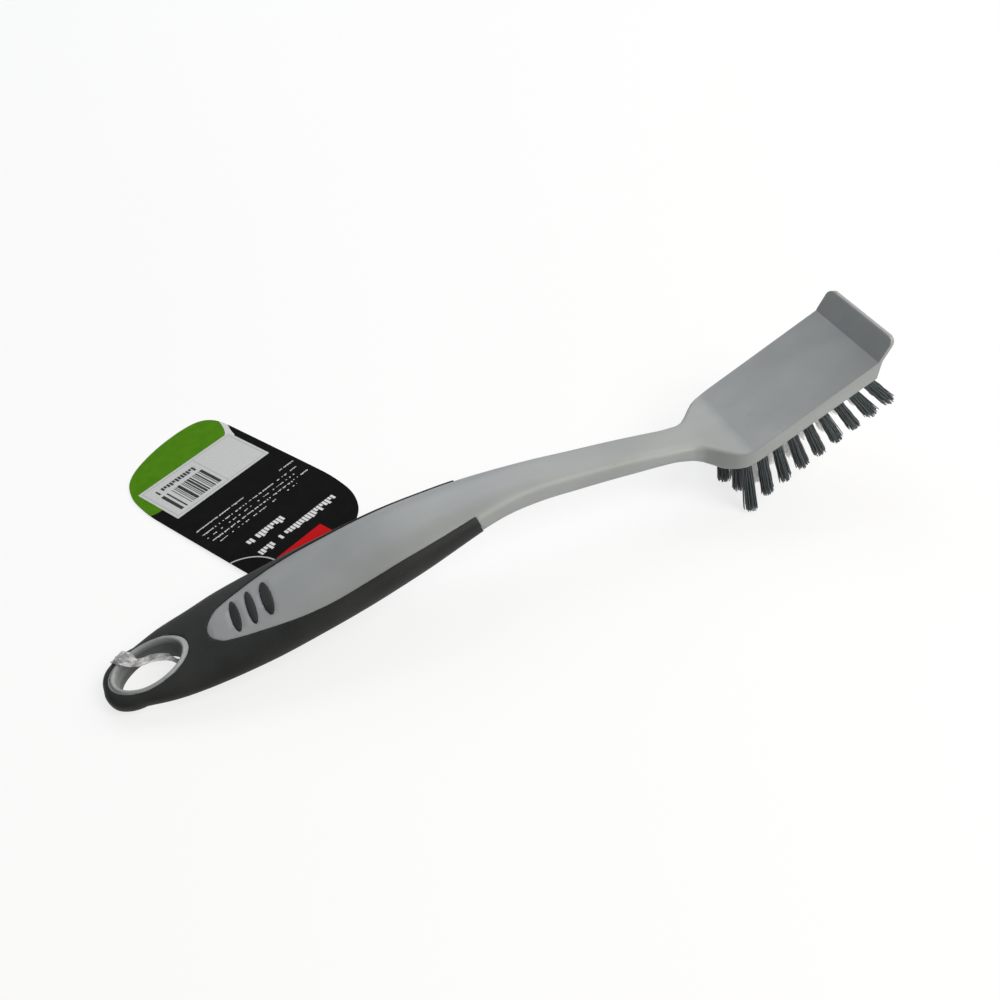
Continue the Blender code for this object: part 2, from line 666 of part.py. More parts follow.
def tag_label(material):
    """Paper label near the tag's far end."""
    far = TAG_LENGTH * LABEL_FAR_SHARE
    aside = TAG_WIDTH * LABEL_SIDE_SHARE - TAG_WIDTH * TAG_HOLE_SIDE_SHARE
    outline = [
        (far + x * LABEL_LENGTH / 2, aside + y * LABEL_WIDTH / 2)
        for x, y in ((-1, -1), (1, -1), (1, 1), (-1, 1))]
    label = card_slab("tag_label", outline, CARD_THICKNESS + FIT_GAP, LABEL_THICKNESS, material)
    label.matrix_world = tag_frame()
    return label


def strap_rows():
    """Places round the strap's loop, each with its middle, heading, tilt and width."""
    eye = Vector((EYE_RUN - REST_RUN, 0, 0))
    size = Vector((EYE_LENGTH / 2, EYE_WIDTH / 2, heights(EYE_RUN)[1]))
    hole = tag_frame().translation
    rows = []
    for x, y, z, heading, tilt, width in STRAP_EYE_SHARES:
        rows.append((*(eye + Vector((x * size.x, y * size.y, z * size.z))), heading, tilt, width))
    first = rows[0]
    last = rows[-1]
    back_heading = STRAP_HOLE_SHARES[0][-1]
    under_heading = STRAP_HOLE_SHARES[-1][-1]
    for share, lift in STRAP_BACK_SHARES:
        spot = Vector(last[:3]).lerp(hole, share)
        rows.append((spot.x, spot.y, CARD_LIFT * lift, back_heading, 0, STRAP_TAIL_SHARE))
    for out, lift, heading in STRAP_HOLE_SHARES:
        course = math.radians(heading) + QUARTER_TURN
        reach = TAG_HOLE_RADIUS * out
        rows.append((
            hole.x + reach * math.cos(course), hole.y + reach * math.sin(course),
            CARD_LIFT * lift, heading, 0, STRAP_TAIL_SHARE))
    for share, lift in STRAP_UNDER_SHARES:
        spot = Vector(first[:3]).lerp(hole, share)
        rows.append((spot.x, spot.y, CARD_LIFT * lift, under_heading, 0, STRAP_TAIL_SHARE))
    return rows


def tag_strap(material):
    """Clear strap: one flat loop through the hanging eye and the tag's hole."""
    rows = strap_rows()
    count = len(rows)
    order = [number % count for number in range(-2, count + 3)]
    steps = [(Vector(rows[i][:3]) - Vector(rows[j][:3])).length for i, j in zip(order[1:], order)]
    places = [0.0] + list(np.cumsum(steps))
    table = [(place, rows[i]) for place, i in zip(places, order)]
    stations = []
    for start, stop in zip(places[2:-3], places[3:-2]):
        for step in range(STRAP_STEPS):
            stations.append(start + (stop - start) * step / STRAP_STEPS)
    courses = [spline(table, place) for place in stations]
    middles = [Vector(course[:3]) for course in courses]
    rings = []
    for number, (x, y, z, heading, tilt, share) in enumerate(courses):
        ahead = middles[(number + 1) % len(middles)] - middles[number - 1]
        turn, rise = math.radians(heading), math.radians(tilt)
        across = Vector((math.cos(turn) * math.cos(rise), math.sin(turn) * math.cos(rise), math.sin(rise)))
        face = ahead.cross(across).normalized() * STRAP_THICKNESS / 2
        side = across * STRAP_WIDTH * share / 2
        middle = middles[number]
        rings.append([middle - side - face, middle + side - face, middle + side + face, middle - side + face])
    return smooth(loft("tag_strap", rings, material, closed=True))


def clear_scene():
    """Removes every object that the scene starts with."""
    for made in list(bpy.data.objects):
        bpy.data.objects.remove(made)


def build():
    """Builds every piece of the brush."""
    clear_scene()
    grey = plastic("grey_plastic", (0.30, 0.32, 0.32), 0.45)
    soft = plastic("soft_rubber", (0.035, 0.037, 0.036), 0.6)
    dark = plastic("dark_bristle", (0.045, 0.05, 0.055), 0.5)
    pale = plastic("pale_bristle", (0.75, 0.76, 0.77), 0.5)
    card = plastic("tag_card", (0.02, 0.02, 0.02), 0.35)
    paper = plastic("label_paper", (0.6, 0.62, 0.62), 0.6)
    film = plastic("clear_film", (0.9, 0.92, 0.93), 0.15, alpha=0.35)
    core_body(grey)
    soft_grip(soft)
    bristle_tufts(dark, pale)
    hang_tag(card)
    tag_label(paper)
    tag_strap(film)


build()
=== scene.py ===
import math
import random
from functools import partialmethod

import bmesh
import bpy
import numpy as np
from mathutils import Matrix, Vector


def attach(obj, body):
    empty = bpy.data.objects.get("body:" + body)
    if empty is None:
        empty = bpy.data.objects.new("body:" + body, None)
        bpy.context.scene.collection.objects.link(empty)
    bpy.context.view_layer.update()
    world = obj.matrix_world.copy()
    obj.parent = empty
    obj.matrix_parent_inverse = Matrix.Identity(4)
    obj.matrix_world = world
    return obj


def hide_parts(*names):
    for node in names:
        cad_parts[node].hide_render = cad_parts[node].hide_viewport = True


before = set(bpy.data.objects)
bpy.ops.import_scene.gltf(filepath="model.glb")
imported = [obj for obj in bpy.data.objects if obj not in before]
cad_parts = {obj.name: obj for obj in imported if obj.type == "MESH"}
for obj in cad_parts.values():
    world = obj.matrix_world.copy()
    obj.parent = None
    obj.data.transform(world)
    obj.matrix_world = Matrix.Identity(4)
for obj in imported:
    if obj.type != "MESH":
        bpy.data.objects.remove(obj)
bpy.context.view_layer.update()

# Shape of the solids
FIT_GAP = 0.0003
CUT_OVERRUN = 0.010
HANDLE_LENGTH = 0.2230
ARCH_HEIGHT = 0.0344
GRIP_WIDTH = 0.0388
GRIP_SWELL = 0.0076
NECK_WIDTH = 0.0147
NECK_THICKNESS = 0.0086
NOSE_LENGTH = 0.0120
NOSE_ROUND = 0.0032
REST_RUN = 0.0034
HEAD_LENGTH = 0.0476
HEAD_WIDTH = 0.0380
HEAD_THICKNESS = 0.0052
HEAD_DEEPER = 0.0010
HEAD_TILT = 22.8
LIP_HEIGHT = 0.0091
LIP_ROOT = 0.0036
LIP_LEAN = 55.0
LIP_CORNER = 0.0024
LIP_SLANT = 0.0006
GRIP_LENGTH = 0.1287
GRIP_END_SLANT = 16.0
SKIN_THICKNESS = 0.0021
SKIN_PROUD = 0.0004
PANEL_RUN = 0.0364
PAD_RUN = 0.0463
PAD_PITCH = 0.0056
PAD_LENGTH = 0.0156
EYE_RUN = 0.0157
EYE_LENGTH = 0.0240
EYE_WIDTH = 0.0184
EYE_DRAFT = 0.0012
RIM_END = 0.0018
RIM_SIDE = 0.0010
TUFT_ROWS = 9
FIRST_ROW_INSET = 0.0003
FIRST_ROW_STEP = 0.0014
LAST_ROW_INSET = 0.0028
SIDE_INSET = 0.0029
HOLE_RADIUS = 0.0019
HOLE_DEPTH = 0.0040
FIRST_LEAN = 2.0
LAST_LEAN = 40.0
SIDE_SPLAY = 7.5
TRIM_TILT = 24.3
TRIM_HEIGHT = 0.0018
TAG_LENGTH = 0.1080
TAG_WIDTH = 0.0546
CARD_THICKNESS = 0.0005
CARD_LIFT = 0.0010
TAG_HOLE_RADIUS = 0.0030
TAG_HOLE_INSET = 0.0090
TAG_AHEAD = 0.0731
TAG_ASIDE = 0.0152
TAG_HEADING = 118.3
LABEL_LENGTH = 0.0249
LABEL_WIDTH = 0.0460
STRAP_WIDTH = 0.0058
STRAP_THICKNESS = 0.0003
SWELL_SHARES = (
    (0.054, 0.46), (0.090, 0.71), (0.135, 0.881), (0.180, 0.966), (0.225, 1.0), (0.270, 0.983),
    (0.360, 0.907), (0.449, 0.729), (0.494, 0.627), (0.539, 0.500), (0.584, 0.347), (0.629, 0.195),
    (0.674, 0.102), (0.742, 0.042), (0.831, 0.008), (0.921, 0.0), (1.2, 0.0))
FLARE_SHARES = (
    (0.0, 0.0), (0.921, 0.0), (0.935, 0.04), (0.946, 0.14), (0.957, 0.34), (0.971, 0.62),
    (0.984, 0.84), (0.9955, 0.95), (1.007, 0.99), (1.02, 1.0), (1.3, 1.0))
BACK_SHARES = (
    (0.0137, 0.201), (0.0362, 0.230), (0.0677, 0.267), (0.0992, 0.304), (0.1352, 0.349), (0.1802, 0.431),
    (0.2253, 0.507), (0.2703, 0.586), (0.3153, 0.660), (0.3603, 0.736), (0.4054, 0.824), (0.4504, 0.897),
    (0.4954, 0.941), (0.5405, 0.970), (0.5855, 0.988), (0.6304, 0.995), (0.6752, 0.981), (0.7424, 0.935),
    (0.8320, 0.867), (0.9214, 0.773), (0.9530, 0.742), (0.9796, 0.727), (1.0, 0.730))
DEPTH_SHARES = (
    (0.0137, -0.184), (0.0362, -0.091), (0.0677, -0.068), (0.0992, -0.055), (0.1352, -0.040), (0.1802, 0.098),
    (0.2253, 0.246), (0.2703, 0.441), (0.3153, 0.546), (0.3603, 0.678), (0.4054, 0.899), (0.4504, 0.990),
    (0.4954, 0.860), (0.5405, 0.599), (0.5855, 0.339), (0.6304, 0.210), (0.6752, 0.146), (0.7424, 0.081),
    (0.8320, 0.0), (0.9214, -0.150), (0.9438, -0.095), (0.9570, -0.035), (0.9685, -0.010))
MIDDLE_SHARES = ((0.0, 0.65), (0.09, 0.62), (0.16, 0.54), (0.25, 0.5), (1.3, 0.5))
UNDERSIDE_SHARE = 0.9685
ROUND_SHARES = (
    (0.0, (0.62, 0.95, 0.80, 0.95)), (0.12, (0.66, 0.95, 0.80, 0.95)), (0.22, (0.90, 0.95, 0.90, 0.95)),
    (0.52, (0.90, 0.95, 0.90, 0.95)), (0.60, (0.75, 0.85, 0.90, 0.95)), (0.70, (0.50, 0.70, 0.85, 0.95)),
    (0.90, (0.50, 0.70, 0.85, 0.95)), (0.96, (0.26, 0.45, 0.45, 0.60)), (1.0, (0.02, 0.12, 0.03, 0.18)),
    (1.3, (0.02, 0.12, 0.03, 0.18)))
NOSE_BLUNT_SHARE = 0.985
NOSE_POWER_SHARE = 0.85
PANEL_SHARES = (
    (0.0, 0.03), (0.003, 0.10), (0.010, 0.185), (0.022, 0.272), (0.042, 0.375), (0.075, 0.45),
    (0.12, 0.52), (0.18, 0.60), (0.25, 0.69), (0.32, 0.76), (0.40, 0.81), (0.50, 0.835), (0.65, 0.86),
    (0.85, 0.86), (1.07, 0.85))
PANEL_FLOOR_SHARE = 0.41
PROUD_SHARES = ((0.0, 0.0), (0.23, 0.0), (0.27, 0.25), (0.31, 0.75), (0.35, 1.0), (1.0, 1.0))
PAD_SHARES = ((0.93, 0.18), (1.0, 0.17), (1.0, 0.22))
LIP_THICK_SHARES = ((0.0, 0.42), (0.1, 0.39), (0.5, 0.38), (1.0, 0.37))
LIP_TURN_SHARES = ((0.0, 0.0), (0.035, 0.33), (0.07, 0.68), (0.105, 1.0), (1.0, 1.0))
LIP_SLANT_SHARES = ((0.0, 0.0), (0.6, 0.0), (1.0, 1.0))
FIRST_ROW_SHARES = (-1.0, -0.46, 0.0, 0.46, 1.0)
FIRST_STEP_SHARES = (0.0, 1.0, 0.0, 1.0, 0.0)
FULL_ROW_SHARES = (-1.0, -0.667, -0.333, 0.0, 0.333, 0.667, 1.0)
ODD_ROW_SHARES = (-1.0, -0.58, -0.2, 0.2, 0.58, 1.0)
EVEN_ROW_SHARES = (-1.0, -0.42, 0.0, 0.42, 1.0)
TAG_END_SHARES = (
    (0.278, 1.0), (0.398, 0.993), (0.528, 0.962), (0.648, 0.915), (0.750, 0.824), (0.830, 0.708),
    (0.893, 0.537), (0.937, 0.327), (0.970, 0.102), (0.991, -0.131), (1.0, -0.345), (1.0, -0.526),
    (0.991, -0.690), (0.967, -0.820), (0.926, -0.911), (0.861, -0.973), (0.778, -0.995), (0.685, -1.0))
TAG_HOLE_SIDE_SHARE = 0.208
LABEL_FAR_SHARE = 0.6250
LABEL_SIDE_SHARE = -0.011
STRAP_EYE_SHARES = (
    (1.36, 0.80, 0.054, 122, 0, 0.56), (1.02, 0.50, 0.075, 112, 0, 0.54), (0.76, 0.41, 0.205, 103, 16, 0.48),
    (0.55, 0.57, 0.42, 95, 38, 0.46), (0.28, 0.68, 0.51, 90, 44, 0.44), (0.03, 0.69, 0.57, 84, 44, 0.44),
    (-0.19, 0.60, 0.65, 72, 34, 0.44), (-0.34, 0.52, 0.79, 58, 16, 0.52), (-0.47, 0.59, 0.925, 46, 5, 0.84),
    (-0.60, 0.79, 0.935, 38, 4, 0.98), (-0.71, 0.99, 0.865, 37, 2, 0.94), (-0.815, 1.24, 0.655, 38, 0, 0.78),
    (-0.86, 1.385, 0.40, 43, 0, 0.66), (-0.83, 1.48, 0.17, 60, 0, 0.60), (-0.67, 1.59, 0.056, 90, 0, 0.58),
    (-0.35, 1.76, 0.054, 103, 0, 0.56))
STRAP_BACK_SHARES = ((0.22, 0.5), (0.38, 0.5), (0.60, 2.1), (0.78, 2.1), (0.93, 2.05))
STRAP_UNDER_SHARES = ((0.93, 0.5), (0.72, 0.5), (0.45, 0.5), (0.20, 0.5))
STRAP_HOLE_SHARES = (
    (0.40, 2.0, 108), (0.02, 1.78, 112), (-0.10, 1.25, 116), (0.02, 0.72, 120), (0.40, 0.5, 124))
STRAP_TAIL_SHARE = 0.56
FULL_TURN = math.radians(360)
QUARTER_TURN = math.radians(90)

# Finish of the visible pieces
SEAM_GAP = 0.00006
TABLE_BLEND = 0.0007
SECTION_STEPS = 11
BURIED_STEPS = 3
STATION_STEP = 0.0022
NOSE_STEPS = 22
NECK_END_SHARE = 0.92
FLARE_SPAN_SHARES = (0.93, 0.995)
FLARE_STEPS = 17
HEAD_START_SHARES = (1.004, 1.008, 1.013, 1.02, 1.03)
PANEL_TIP_SHARE = 0.08
PANEL_TIP_STEPS = 24
PANEL_STEPS = 70
EYE_SIDES = 96
PAD_SIDES = 48
HOLE_SIDES = 20
BEAD_RADIUS = 0.00075
BEAD_ASIDE = 0.00036
BEAD_SUNK = 0.00032
BEAD_STEPS = 16
LIP_CORNER_STEPS = 12
LIP_EDGE_ROUND = 0.00042
LIP_EDGE_ANGLES = (20, 40, 60, 78, 86)
LIP_LOW_SHARES = (0.012, 0.024, 0.036, 0.048, 0.060, 0.072, 0.084, 0.096, 0.11, 0.2, 0.35, 0.5)
EDGE_ROUND = 0.00020
WELD_REACH = 0.00003
CRISP_ANGLE = 48.0
BODY_SMOOTH_ANGLE = 40.0

# Bristle filaments: sizes in metres, spans of random draws, and tones as name, low, high, roughness, painted
# glow
FILAMENTS = 60
FILAMENT_RADIUS = 0.00022
FILAMENT_STEPS = 8
BUNDLE_RADIUS = 0.00172
BRISTLE_REACH = 0.0208
TABLE_CLEAR_SHARE = 1.15
ROOT_DEPTH = 0.0012
TIP_ROUND = 0.0008
TIP_DRIFT = 0.0003
TIP_SHARE = 0.8
CRIMP_HEIGHT = 0.00009
CRIMP_PITCH = 0.0030
CRIMP_FADE = 0.002
FIRST_ROW_TRIM = (0.0003, 0.0016, 0.0, 0.0022, 0.0012)
FILAMENT_SEED = 7000
GOLDEN_ANGLE = 2.39996
DRAWN_TURN = 6.28
PLACE_DRIFT = 0.15
PHASE_DRIFT = 0.7
CORNER_DRIFT = 1.5
WANDER = 0.015
FLARE_SPAN = (0.025, 0.055)
STRAY_SPAN = (0.07, 0.09)
STRAY_SHARE = 0.02
TONE_WEIGHTS = (5, 3, 2)
BRISTLE_TONES = {
    "dark_bristle": (
        ("bristle_charcoal", (0.042, 0.052, 0.057), (0.072, 0.086, 0.093), 0.36),
        ("bristle_slate", (0.088, 0.105, 0.113), (0.140, 0.163, 0.173), 0.34),
        ("bristle_black", (0.016, 0.019, 0.021), (0.032, 0.038, 0.041), 0.40)),
    # pale tones end with the strength of a painted glow, which stands in for light passing through the
    # bristles
    "pale_bristle": (
        ("bristle_white", (0.86, 0.87, 0.87), (0.93, 0.94, 0.94), 0.40, 0.07),
        ("bristle_milk", (0.78, 0.80, 0.80), (0.86, 0.87, 0.88), 0.42, 0.05))}

# Card, label and strap
CARD_HOLE_SIDES = 48
CORNER_CUT_SHARES = (0.75, 0.25)
TOP_FACING = 0.9
LABEL_CORNER = 0.0004
LABEL_CORNER_STEPS = 3
LABEL_GAP = 0.00004
LABEL_THICKNESS = 0.00012
STRAP_STEPS = 8
STRAP_SIDE_STEPS = 10
STRAP_SMOOTH_ANGLE = 60.0
WIDE_SHARE = 0.7
EYE_CRUMPLE = 0.00024
TAIL_CRUMPLE = 0.00012
FOLD_WAVES = ((1.0, 7.0, 0.35), (0.6, 13.0, -0.23))

# Shade in the eye: spans of the reach round it and of the depth below the rim
WALL_SPAN_SHARES = (1.05, 1.0)
WALL_TOP_SPAN = (0.0008, 0.0024)
WALL_FOOT_SPAN = (0.0022, 0.0052)
NOISE_SPAN = (0.3, 0.7)

# Print in millimetres of the tag's own frame. A field is its low and high X, then its low and high Y; a row
# of strokes is a field with the strokes' cell, the share that is kept and a seed; an edge is (Y, X) points.
MILLIMETRES = 1000.0
PRINT_ROWS = (
    (42.3, 43.1, -11.0, 12.0, 0.62, 0.85, 1), (42.6, 43.3, -36.8, -29.5, 0.62, 0.85, 2),
    (38.8, 39.5, -35.0, 12.0, 0.62, 0.62, 3), (36.1, 36.6, -33.0, 12.0, 0.95, 0.50, 4),
    (33.3, 34.1, -36.0, 12.0, 0.62, 0.75, 5), (30.9, 31.4, -28.0, 12.0, 0.95, 0.50, 6),
    (18.9, 22.6, -11.5, 6.6, 1.45, 0.96, 7), (11.0, 14.7, -31.0, 6.6, 1.45, 0.88, 8))
TICK_ROW = (72.4, 75.4, -12.6, 6.2, 1.35, 0.90, 12)
FOOT_SEED = 40
FOOT_SHARE = 0.55
STROKE_SHARE = 0.76
GREEN_EDGE = (
    (-40.0, 94.0), (-38.1, 89.9), (-37.2, 87.2), (-35.8, 84.0), (-33.8, 80.9), (-29.8, 78.0), (-12.0, 71.5),
    (11.4, 64.6), (17.0, 66.4))
BLACK_EDGE = (
    (-40.0, 87.6), (-38.2, 84.1), (-36.4, 79.8), (-35.1, 76.4), (-29.8, 73.0), (-12.0, 69.2), (11.4, 64.6),
    (17.0, 66.4))
EDGE_SPAN = (-40.0, 17.0)
EDGE_REACH = (60.0, 96.0)
ARC_CENTRE = (4.9, 20.3)
ARC_RADIUS = 14.45
ARC_HALF = 0.28
RED_PATCH = (-4.0, 6.3, -16.6, 4.7)
RED_CLEAR = 4.6
BAR_FIELD = (58.2, 70.8, -13.5, 6.9)
BAR_CELL = 0.36
BAR_KEPT = 0.55
BAR_SEED = 11
LABEL_RULE = (56.6, 78.4, -15.05, -14.8)
LABEL_FRAME = (56.2, 78.8, -33.9, 9.9)
LABEL_FRAME_INNER = (56.45, 78.55, -33.65, 9.65)

# Ground, light and camera: a lamp is its name, direction, distance, size, power and colour
WHITE = (1.0, 1.0, 1.0)
FLOOR_TONE = (0.86, 0.86, 0.86)
FLOOR_WHITE = 0.78
FLOOR_REACH = 6.0
FLOOR_DEPTH = 0.02
FLOOR_GAP = 0.0001
SKY_TONE = (0.97, 0.98, 1.0)
SKY_LEVEL = 0.05
LAMP_AIM = (0.13, 0.0, 0.02)
LAMPS = (
    ("key", (0.42, -0.62, 0.70), 1.1, 0.6, 10.3, (1.0, 0.98, 0.93)),
    ("right", (0.80, 0.20, 0.60), 1.2, 0.8, 6.6, (1.0, 0.95, 0.85)),
    ("rear", (0.05, 0.75, 0.70), 1.2, 0.9, 7.2, (0.86, 0.90, 1.0)))
CAMERA_LENS = 45.0
CAMERA_SENSOR = 36.0
CAMERA_PLACE = (0.04921, -0.3033, 0.29438)
CAMERA_RIGHT = (0.92342, -0.3662, -0.11492)
CAMERA_UP = (0.32135, 0.5741, 0.75304)


def spline(table, at):
    """Value of a smooth curve through the (place, value) pairs, held flat past both ends."""
    places, values = [np.array(column, float) for column in zip(*table)]
    if at <= places[0]:
        return values[0]
    if at >= places[-1]:
        return values[-1]
    slopes = np.gradient(values, places, axis=0)
    i = int(np.searchsorted(places, at, side="right")) - 1
    step = places[i + 1] - places[i]
    u = (at - places[i]) / step
    rise = u * u * (3 - 2 * u)
    start = u * (1 - u) ** 2 * step
    end = -u * u * (1 - u) * step
    return values[i] * (1 - rise) + values[i + 1] * rise + slopes[i] * start + slopes[i + 1] * end


def straight(table, at):
    """Value of the straight lines through the (place, value) pairs."""
    places, values = zip(*table)
    columns = np.array(values, float)
    if columns.ndim == 1:
        return float(np.interp(at, places, columns))
    return [float(np.interp(at, places, column)) for column in columns.T]


def middle_height(run, low, high):
    """Height of the widest part of a section."""
    return low + (high - low) * straight(MIDDLE_SHARES, run / HANDLE_LENGTH)


def bulge(share):
    """Round nose: from almost nothing at share 0 to 1 at share 1 and beyond."""
    left = (1 - min(max(share, 0.0), 1.0)) * NOSE_BLUNT_SHARE
    return math.sqrt(1 - left * left)


def head_back(run):
    """Height of the head's flat back at a run, on from the crease."""
    crease = ARCH_HEIGHT * BACK_SHARES[-1][1]
    return crease + math.tan(math.radians(HEAD_TILT)) * (run - HANDLE_LENGTH)


def head_underside(run):
    """Height of the head's flat underside at a run."""
    thickness = HEAD_THICKNESS + HEAD_DEEPER * (run - HANDLE_LENGTH) / HEAD_LENGTH
    return head_back(run) - thickness / math.cos(math.radians(HEAD_TILT))


def half_width(run):
    """Half the width of the handle, neck or head at a run, before the nose is rounded."""
    share = run / HANDLE_LENGTH
    swell = (GRIP_WIDTH - NECK_WIDTH) / 2 * spline(SWELL_SHARES, share)
    flare = (HEAD_WIDTH - NECK_WIDTH) / 2 * straight(FLARE_SHARES, share)
    return NECK_WIDTH / 2 + swell + flare


def heights(run):
    """Lowest and highest point of the outer shape at a run, before the nose is rounded."""
    share = run / HANDLE_LENGTH
    top = head_back(run) if share >= 1 else ARCH_HEIGHT * spline(BACK_SHARES, share)
    if share >= UNDERSIDE_SHARE:
        return head_underside(run), top
    return top - NECK_THICKNESS - GRIP_SWELL * spline(DEPTH_SHARES, share), top


def section_sizes(run, inset):
    """Half width, low, middle and high of the section at a run, drawn in by an inset."""
    low, high = heights(run)
    middle = middle_height(run, low, high)
    nose = bulge((run - inset) / (NOSE_LENGTH - inset)) ** NOSE_POWER_SHARE
    half = (half_width(max(run, NOSE_LENGTH)) - inset) * nose
    upright = bulge((run - inset) / max(NOSE_ROUND - inset, FIT_GAP))
    low = middle - (middle - low - inset) * upright
    high = middle + (high - middle - inset) * upright
    return half, low, middle, high


def rounded_ring(half, low, middle, high, shares, steps=SECTION_STEPS):
    """Points round a section with four rounded corners, from its lowest, middle and highest point."""
    corners = ((1, high, shares[:2]), (-1, high, shares[:2]), (-1, low, shares[2:]), (1, low, shares[2:]))
    points = []
    for number, (side, edge, (across_share, up_share)) in enumerate(corners):
        across = half * across_share
        up = (edge - middle) * up_share
        for step in range(steps + 1):
            turn = QUARTER_TURN * step / steps
            if number % 2:
                turn = QUARTER_TURN - turn
            aside = side * (half - across + across * math.cos(turn))
            points.append(edge - up + up * math.sin(turn) + Vector((0, aside, 0)))
    return points


def section(run, inset=0.0, steps=SECTION_STEPS):
    """Points round the outer shape at a run, flowing smoothly into the flat that rests on the table."""
    half, low, middle, high = section_sizes(run, inset)
    shares = straight(ROUND_SHARES, run / HANDLE_LENGTH)
    spots = [Vector((run - REST_RUN, 0, z)) for z in (low, middle, high)]
    points = rounded_ring(half, *spots, shares, steps)
    for point in points:
        above = point.z - inset
        point.z = inset + (above + math.sqrt(above * above + TABLE_BLEND * TABLE_BLEND)) / 2
    return points


def linked(name, data):
    """Object with the given data, in the scene."""
    made = bpy.data.objects.new(name, data)
    bpy.context.scene.collection.objects.link(made)
    return made


def make_object(shape):
    """Object from a bmesh, with closed faces turned outwards."""
    bmesh.ops.recalc_face_normals(shape, faces=shape.faces)
    mesh = bpy.data.meshes.new("form")
    shape.to_mesh(mesh)
    shape.free()
    return linked("form", mesh)


def wrap(shape, loops):
    """Faces between each loop of corners and the next."""
    made = []
    for first, second in zip(loops, loops[1:]):
        for corners in zip(first, first[1:] + first[:1], second[1:] + second[:1], second):
            made.append(shape.faces.new(corners))
    return made


def loft(rings, closed=False):
    """Solid through rings of equally many points: capped at both ends, or joined end to start."""
    shape = bmesh.new()
    loops = [[shape.verts.new(point) for point in ring] for ring in rings]
    wrap(shape, loops + loops[:1] if closed else loops)
    bmesh.ops.triangulate(shape, faces=shape.faces)
    if not closed:
        shape.faces.new(loops[0])
        shape.faces.new(loops[-1])
    return make_object(shape)


def prism(outline, low, high):
    """Upright solid over an outline of (x, y) points, between two heights."""
    return loft([[Vector((x, y, z)) for x, y in outline] for z in (low, high)])


def combine(body, operation, *tools):
    """Joins, cuts or trims a body with tools, which are used up."""
    for tool in tools:
        change = body.modifiers.new(operation, "BOOLEAN")
        change.operation = operation
        change.solver = "EXACT"
        change.object = tool
        graph = bpy.context.evaluated_depsgraph_get()
        old = body.data
        body.data = bpy.data.meshes.new_from_object(body.evaluated_get(graph))
        body.modifiers.clear()
        bpy.data.meshes.remove(old)
        bpy.data.objects.remove(tool)
    return body


def smooth(made, angle):
    """Smooth shading, with edges sharper than the angle kept crisp."""
    made.data.shade_smooth()
    made.data.set_sharp_from_angle(angle=math.radians(angle))
    return made


class Field:
    """Grey value over a surface, whose sums and comparisons are math nodes."""

    def __init__(self, socket):
        self.socket = socket
        self.tree = socket.id_data

    def calc(self, operation, second=0.0):
        """Result of a math node on this value and a second one."""
        made = node(self.tree, "ShaderNodeMath", {"operation": operation}, n0=self, n1=second)
        return Field(made.outputs[0])

    __add__ = partialmethod(calc, "ADD")
    __sub__ = partialmethod(calc, "SUBTRACT")
    __mul__ = partialmethod(calc, "MULTIPLY")
    __truediv__ = partialmethod(calc, "DIVIDE")
    __pow__ = partialmethod(calc, "POWER")
    __gt__ = partialmethod(calc, "GREATER_THAN")
    __lt__ = partialmethod(calc, "LESS_THAN")

    def between(self, low, high, start=0.0, stop=1.0):
        """This value moved from the span low..high to the span start..stop."""
        made = node(self.tree, "ShaderNodeMapRange", n0=self, n1=low, n2=high, n3=start, n4=stop)
        return Field(made.outputs[0])

    def spread(self, start=0.0, stop=1.0):
        """This noise, from the span that noise mostly keeps to, moved to the span start..stop."""
        return self.between(*NOISE_SPAN, start, stop)

    def mix(self, first, second):
        """Colour between two colours, the first where this value is 0."""
        made = node(self.tree, "ShaderNodeMix", {"data_type": "RGBA"}, Factor=self, n6=first, n7=second)
        return made.outputs[2]

    def bump(self, distance, strength, **under):
        """Normal raised by this value, over another Normal if one is given."""
        made = node(self.tree, "ShaderNodeBump", Height=self, Distance=distance, Strength=strength, **under)
        return made.outputs["Normal"]


def highest(*fields):
    """Greatest of several values."""
    most = fields[0]
    for one in fields[1:]:
        most = most.calc("MAXIMUM", one)
    return most


def radius_at(x, y, centre_x=0.0, centre_y=0.0):
    """Distance from a centre."""
    return ((x - centre_x) ** 2.0 + (y - centre_y) ** 2.0).calc("SQRT")


def feed(shader, values):
    """Links or sets a node's inputs, by name with _ for a space, or by number from n0 on."""
    for key, value in values.items():
        by_number = key[0] == "n" and key[1:].isdigit()
        socket = shader.inputs[int(key[1:]) if by_number else key.replace("_", " ")]
        if isinstance(value, Field):
            value = value.socket
        if isinstance(value, bpy.types.NodeSocket):
            shader.id_data.links.new(value, socket)
        else:
            socket.default_value = (*value, 1.0) if socket.type == "RGBA" else value


def node(tree, kind, settings=(), **values):
    """Shader node with its settings, and with links or values for its inputs."""
    made = tree.nodes.new(kind)
    for key, value in dict(settings).items():
        setattr(made, key, value)
    feed(made, values)
    return made


def stretched(place, *scale):
    """Coordinates stretched along X, Y and Z."""
    return node(place.id_data, "ShaderNodeMapping", Vector=place, Scale=scale).outputs["Vector"]


def axes_of(place):
    """X, Y and Z of coordinates."""
    return [Field(one) for one in node(place.id_data, "ShaderNodeSeparateXYZ", Vector=place).outputs]


def noise(place, scale, detail=2.0, roughness=0.5):
    """Grey noise over the surface."""
    settings = {"Scale": scale, "Detail": detail, "Roughness": roughness}
    return Field(node(place.id_data, "ShaderNodeTexNoise", Vector=place, **settings).outputs["Fac"])


def finish(material, **values):
    """Links or sets the inputs of the material's shader."""
    feed(material.node_tree.nodes["Principled BSDF"], values)
    return material


def surface(name, **constants):
    """Material with the values that are the same all over it, and its object coordinates."""
    material = bpy.data.materials.new(name)
    material.use_nodes = True
    place = node(material.node_tree, "ShaderNodeTexCoord").outputs["Object"]
    return finish(material, **constants), place


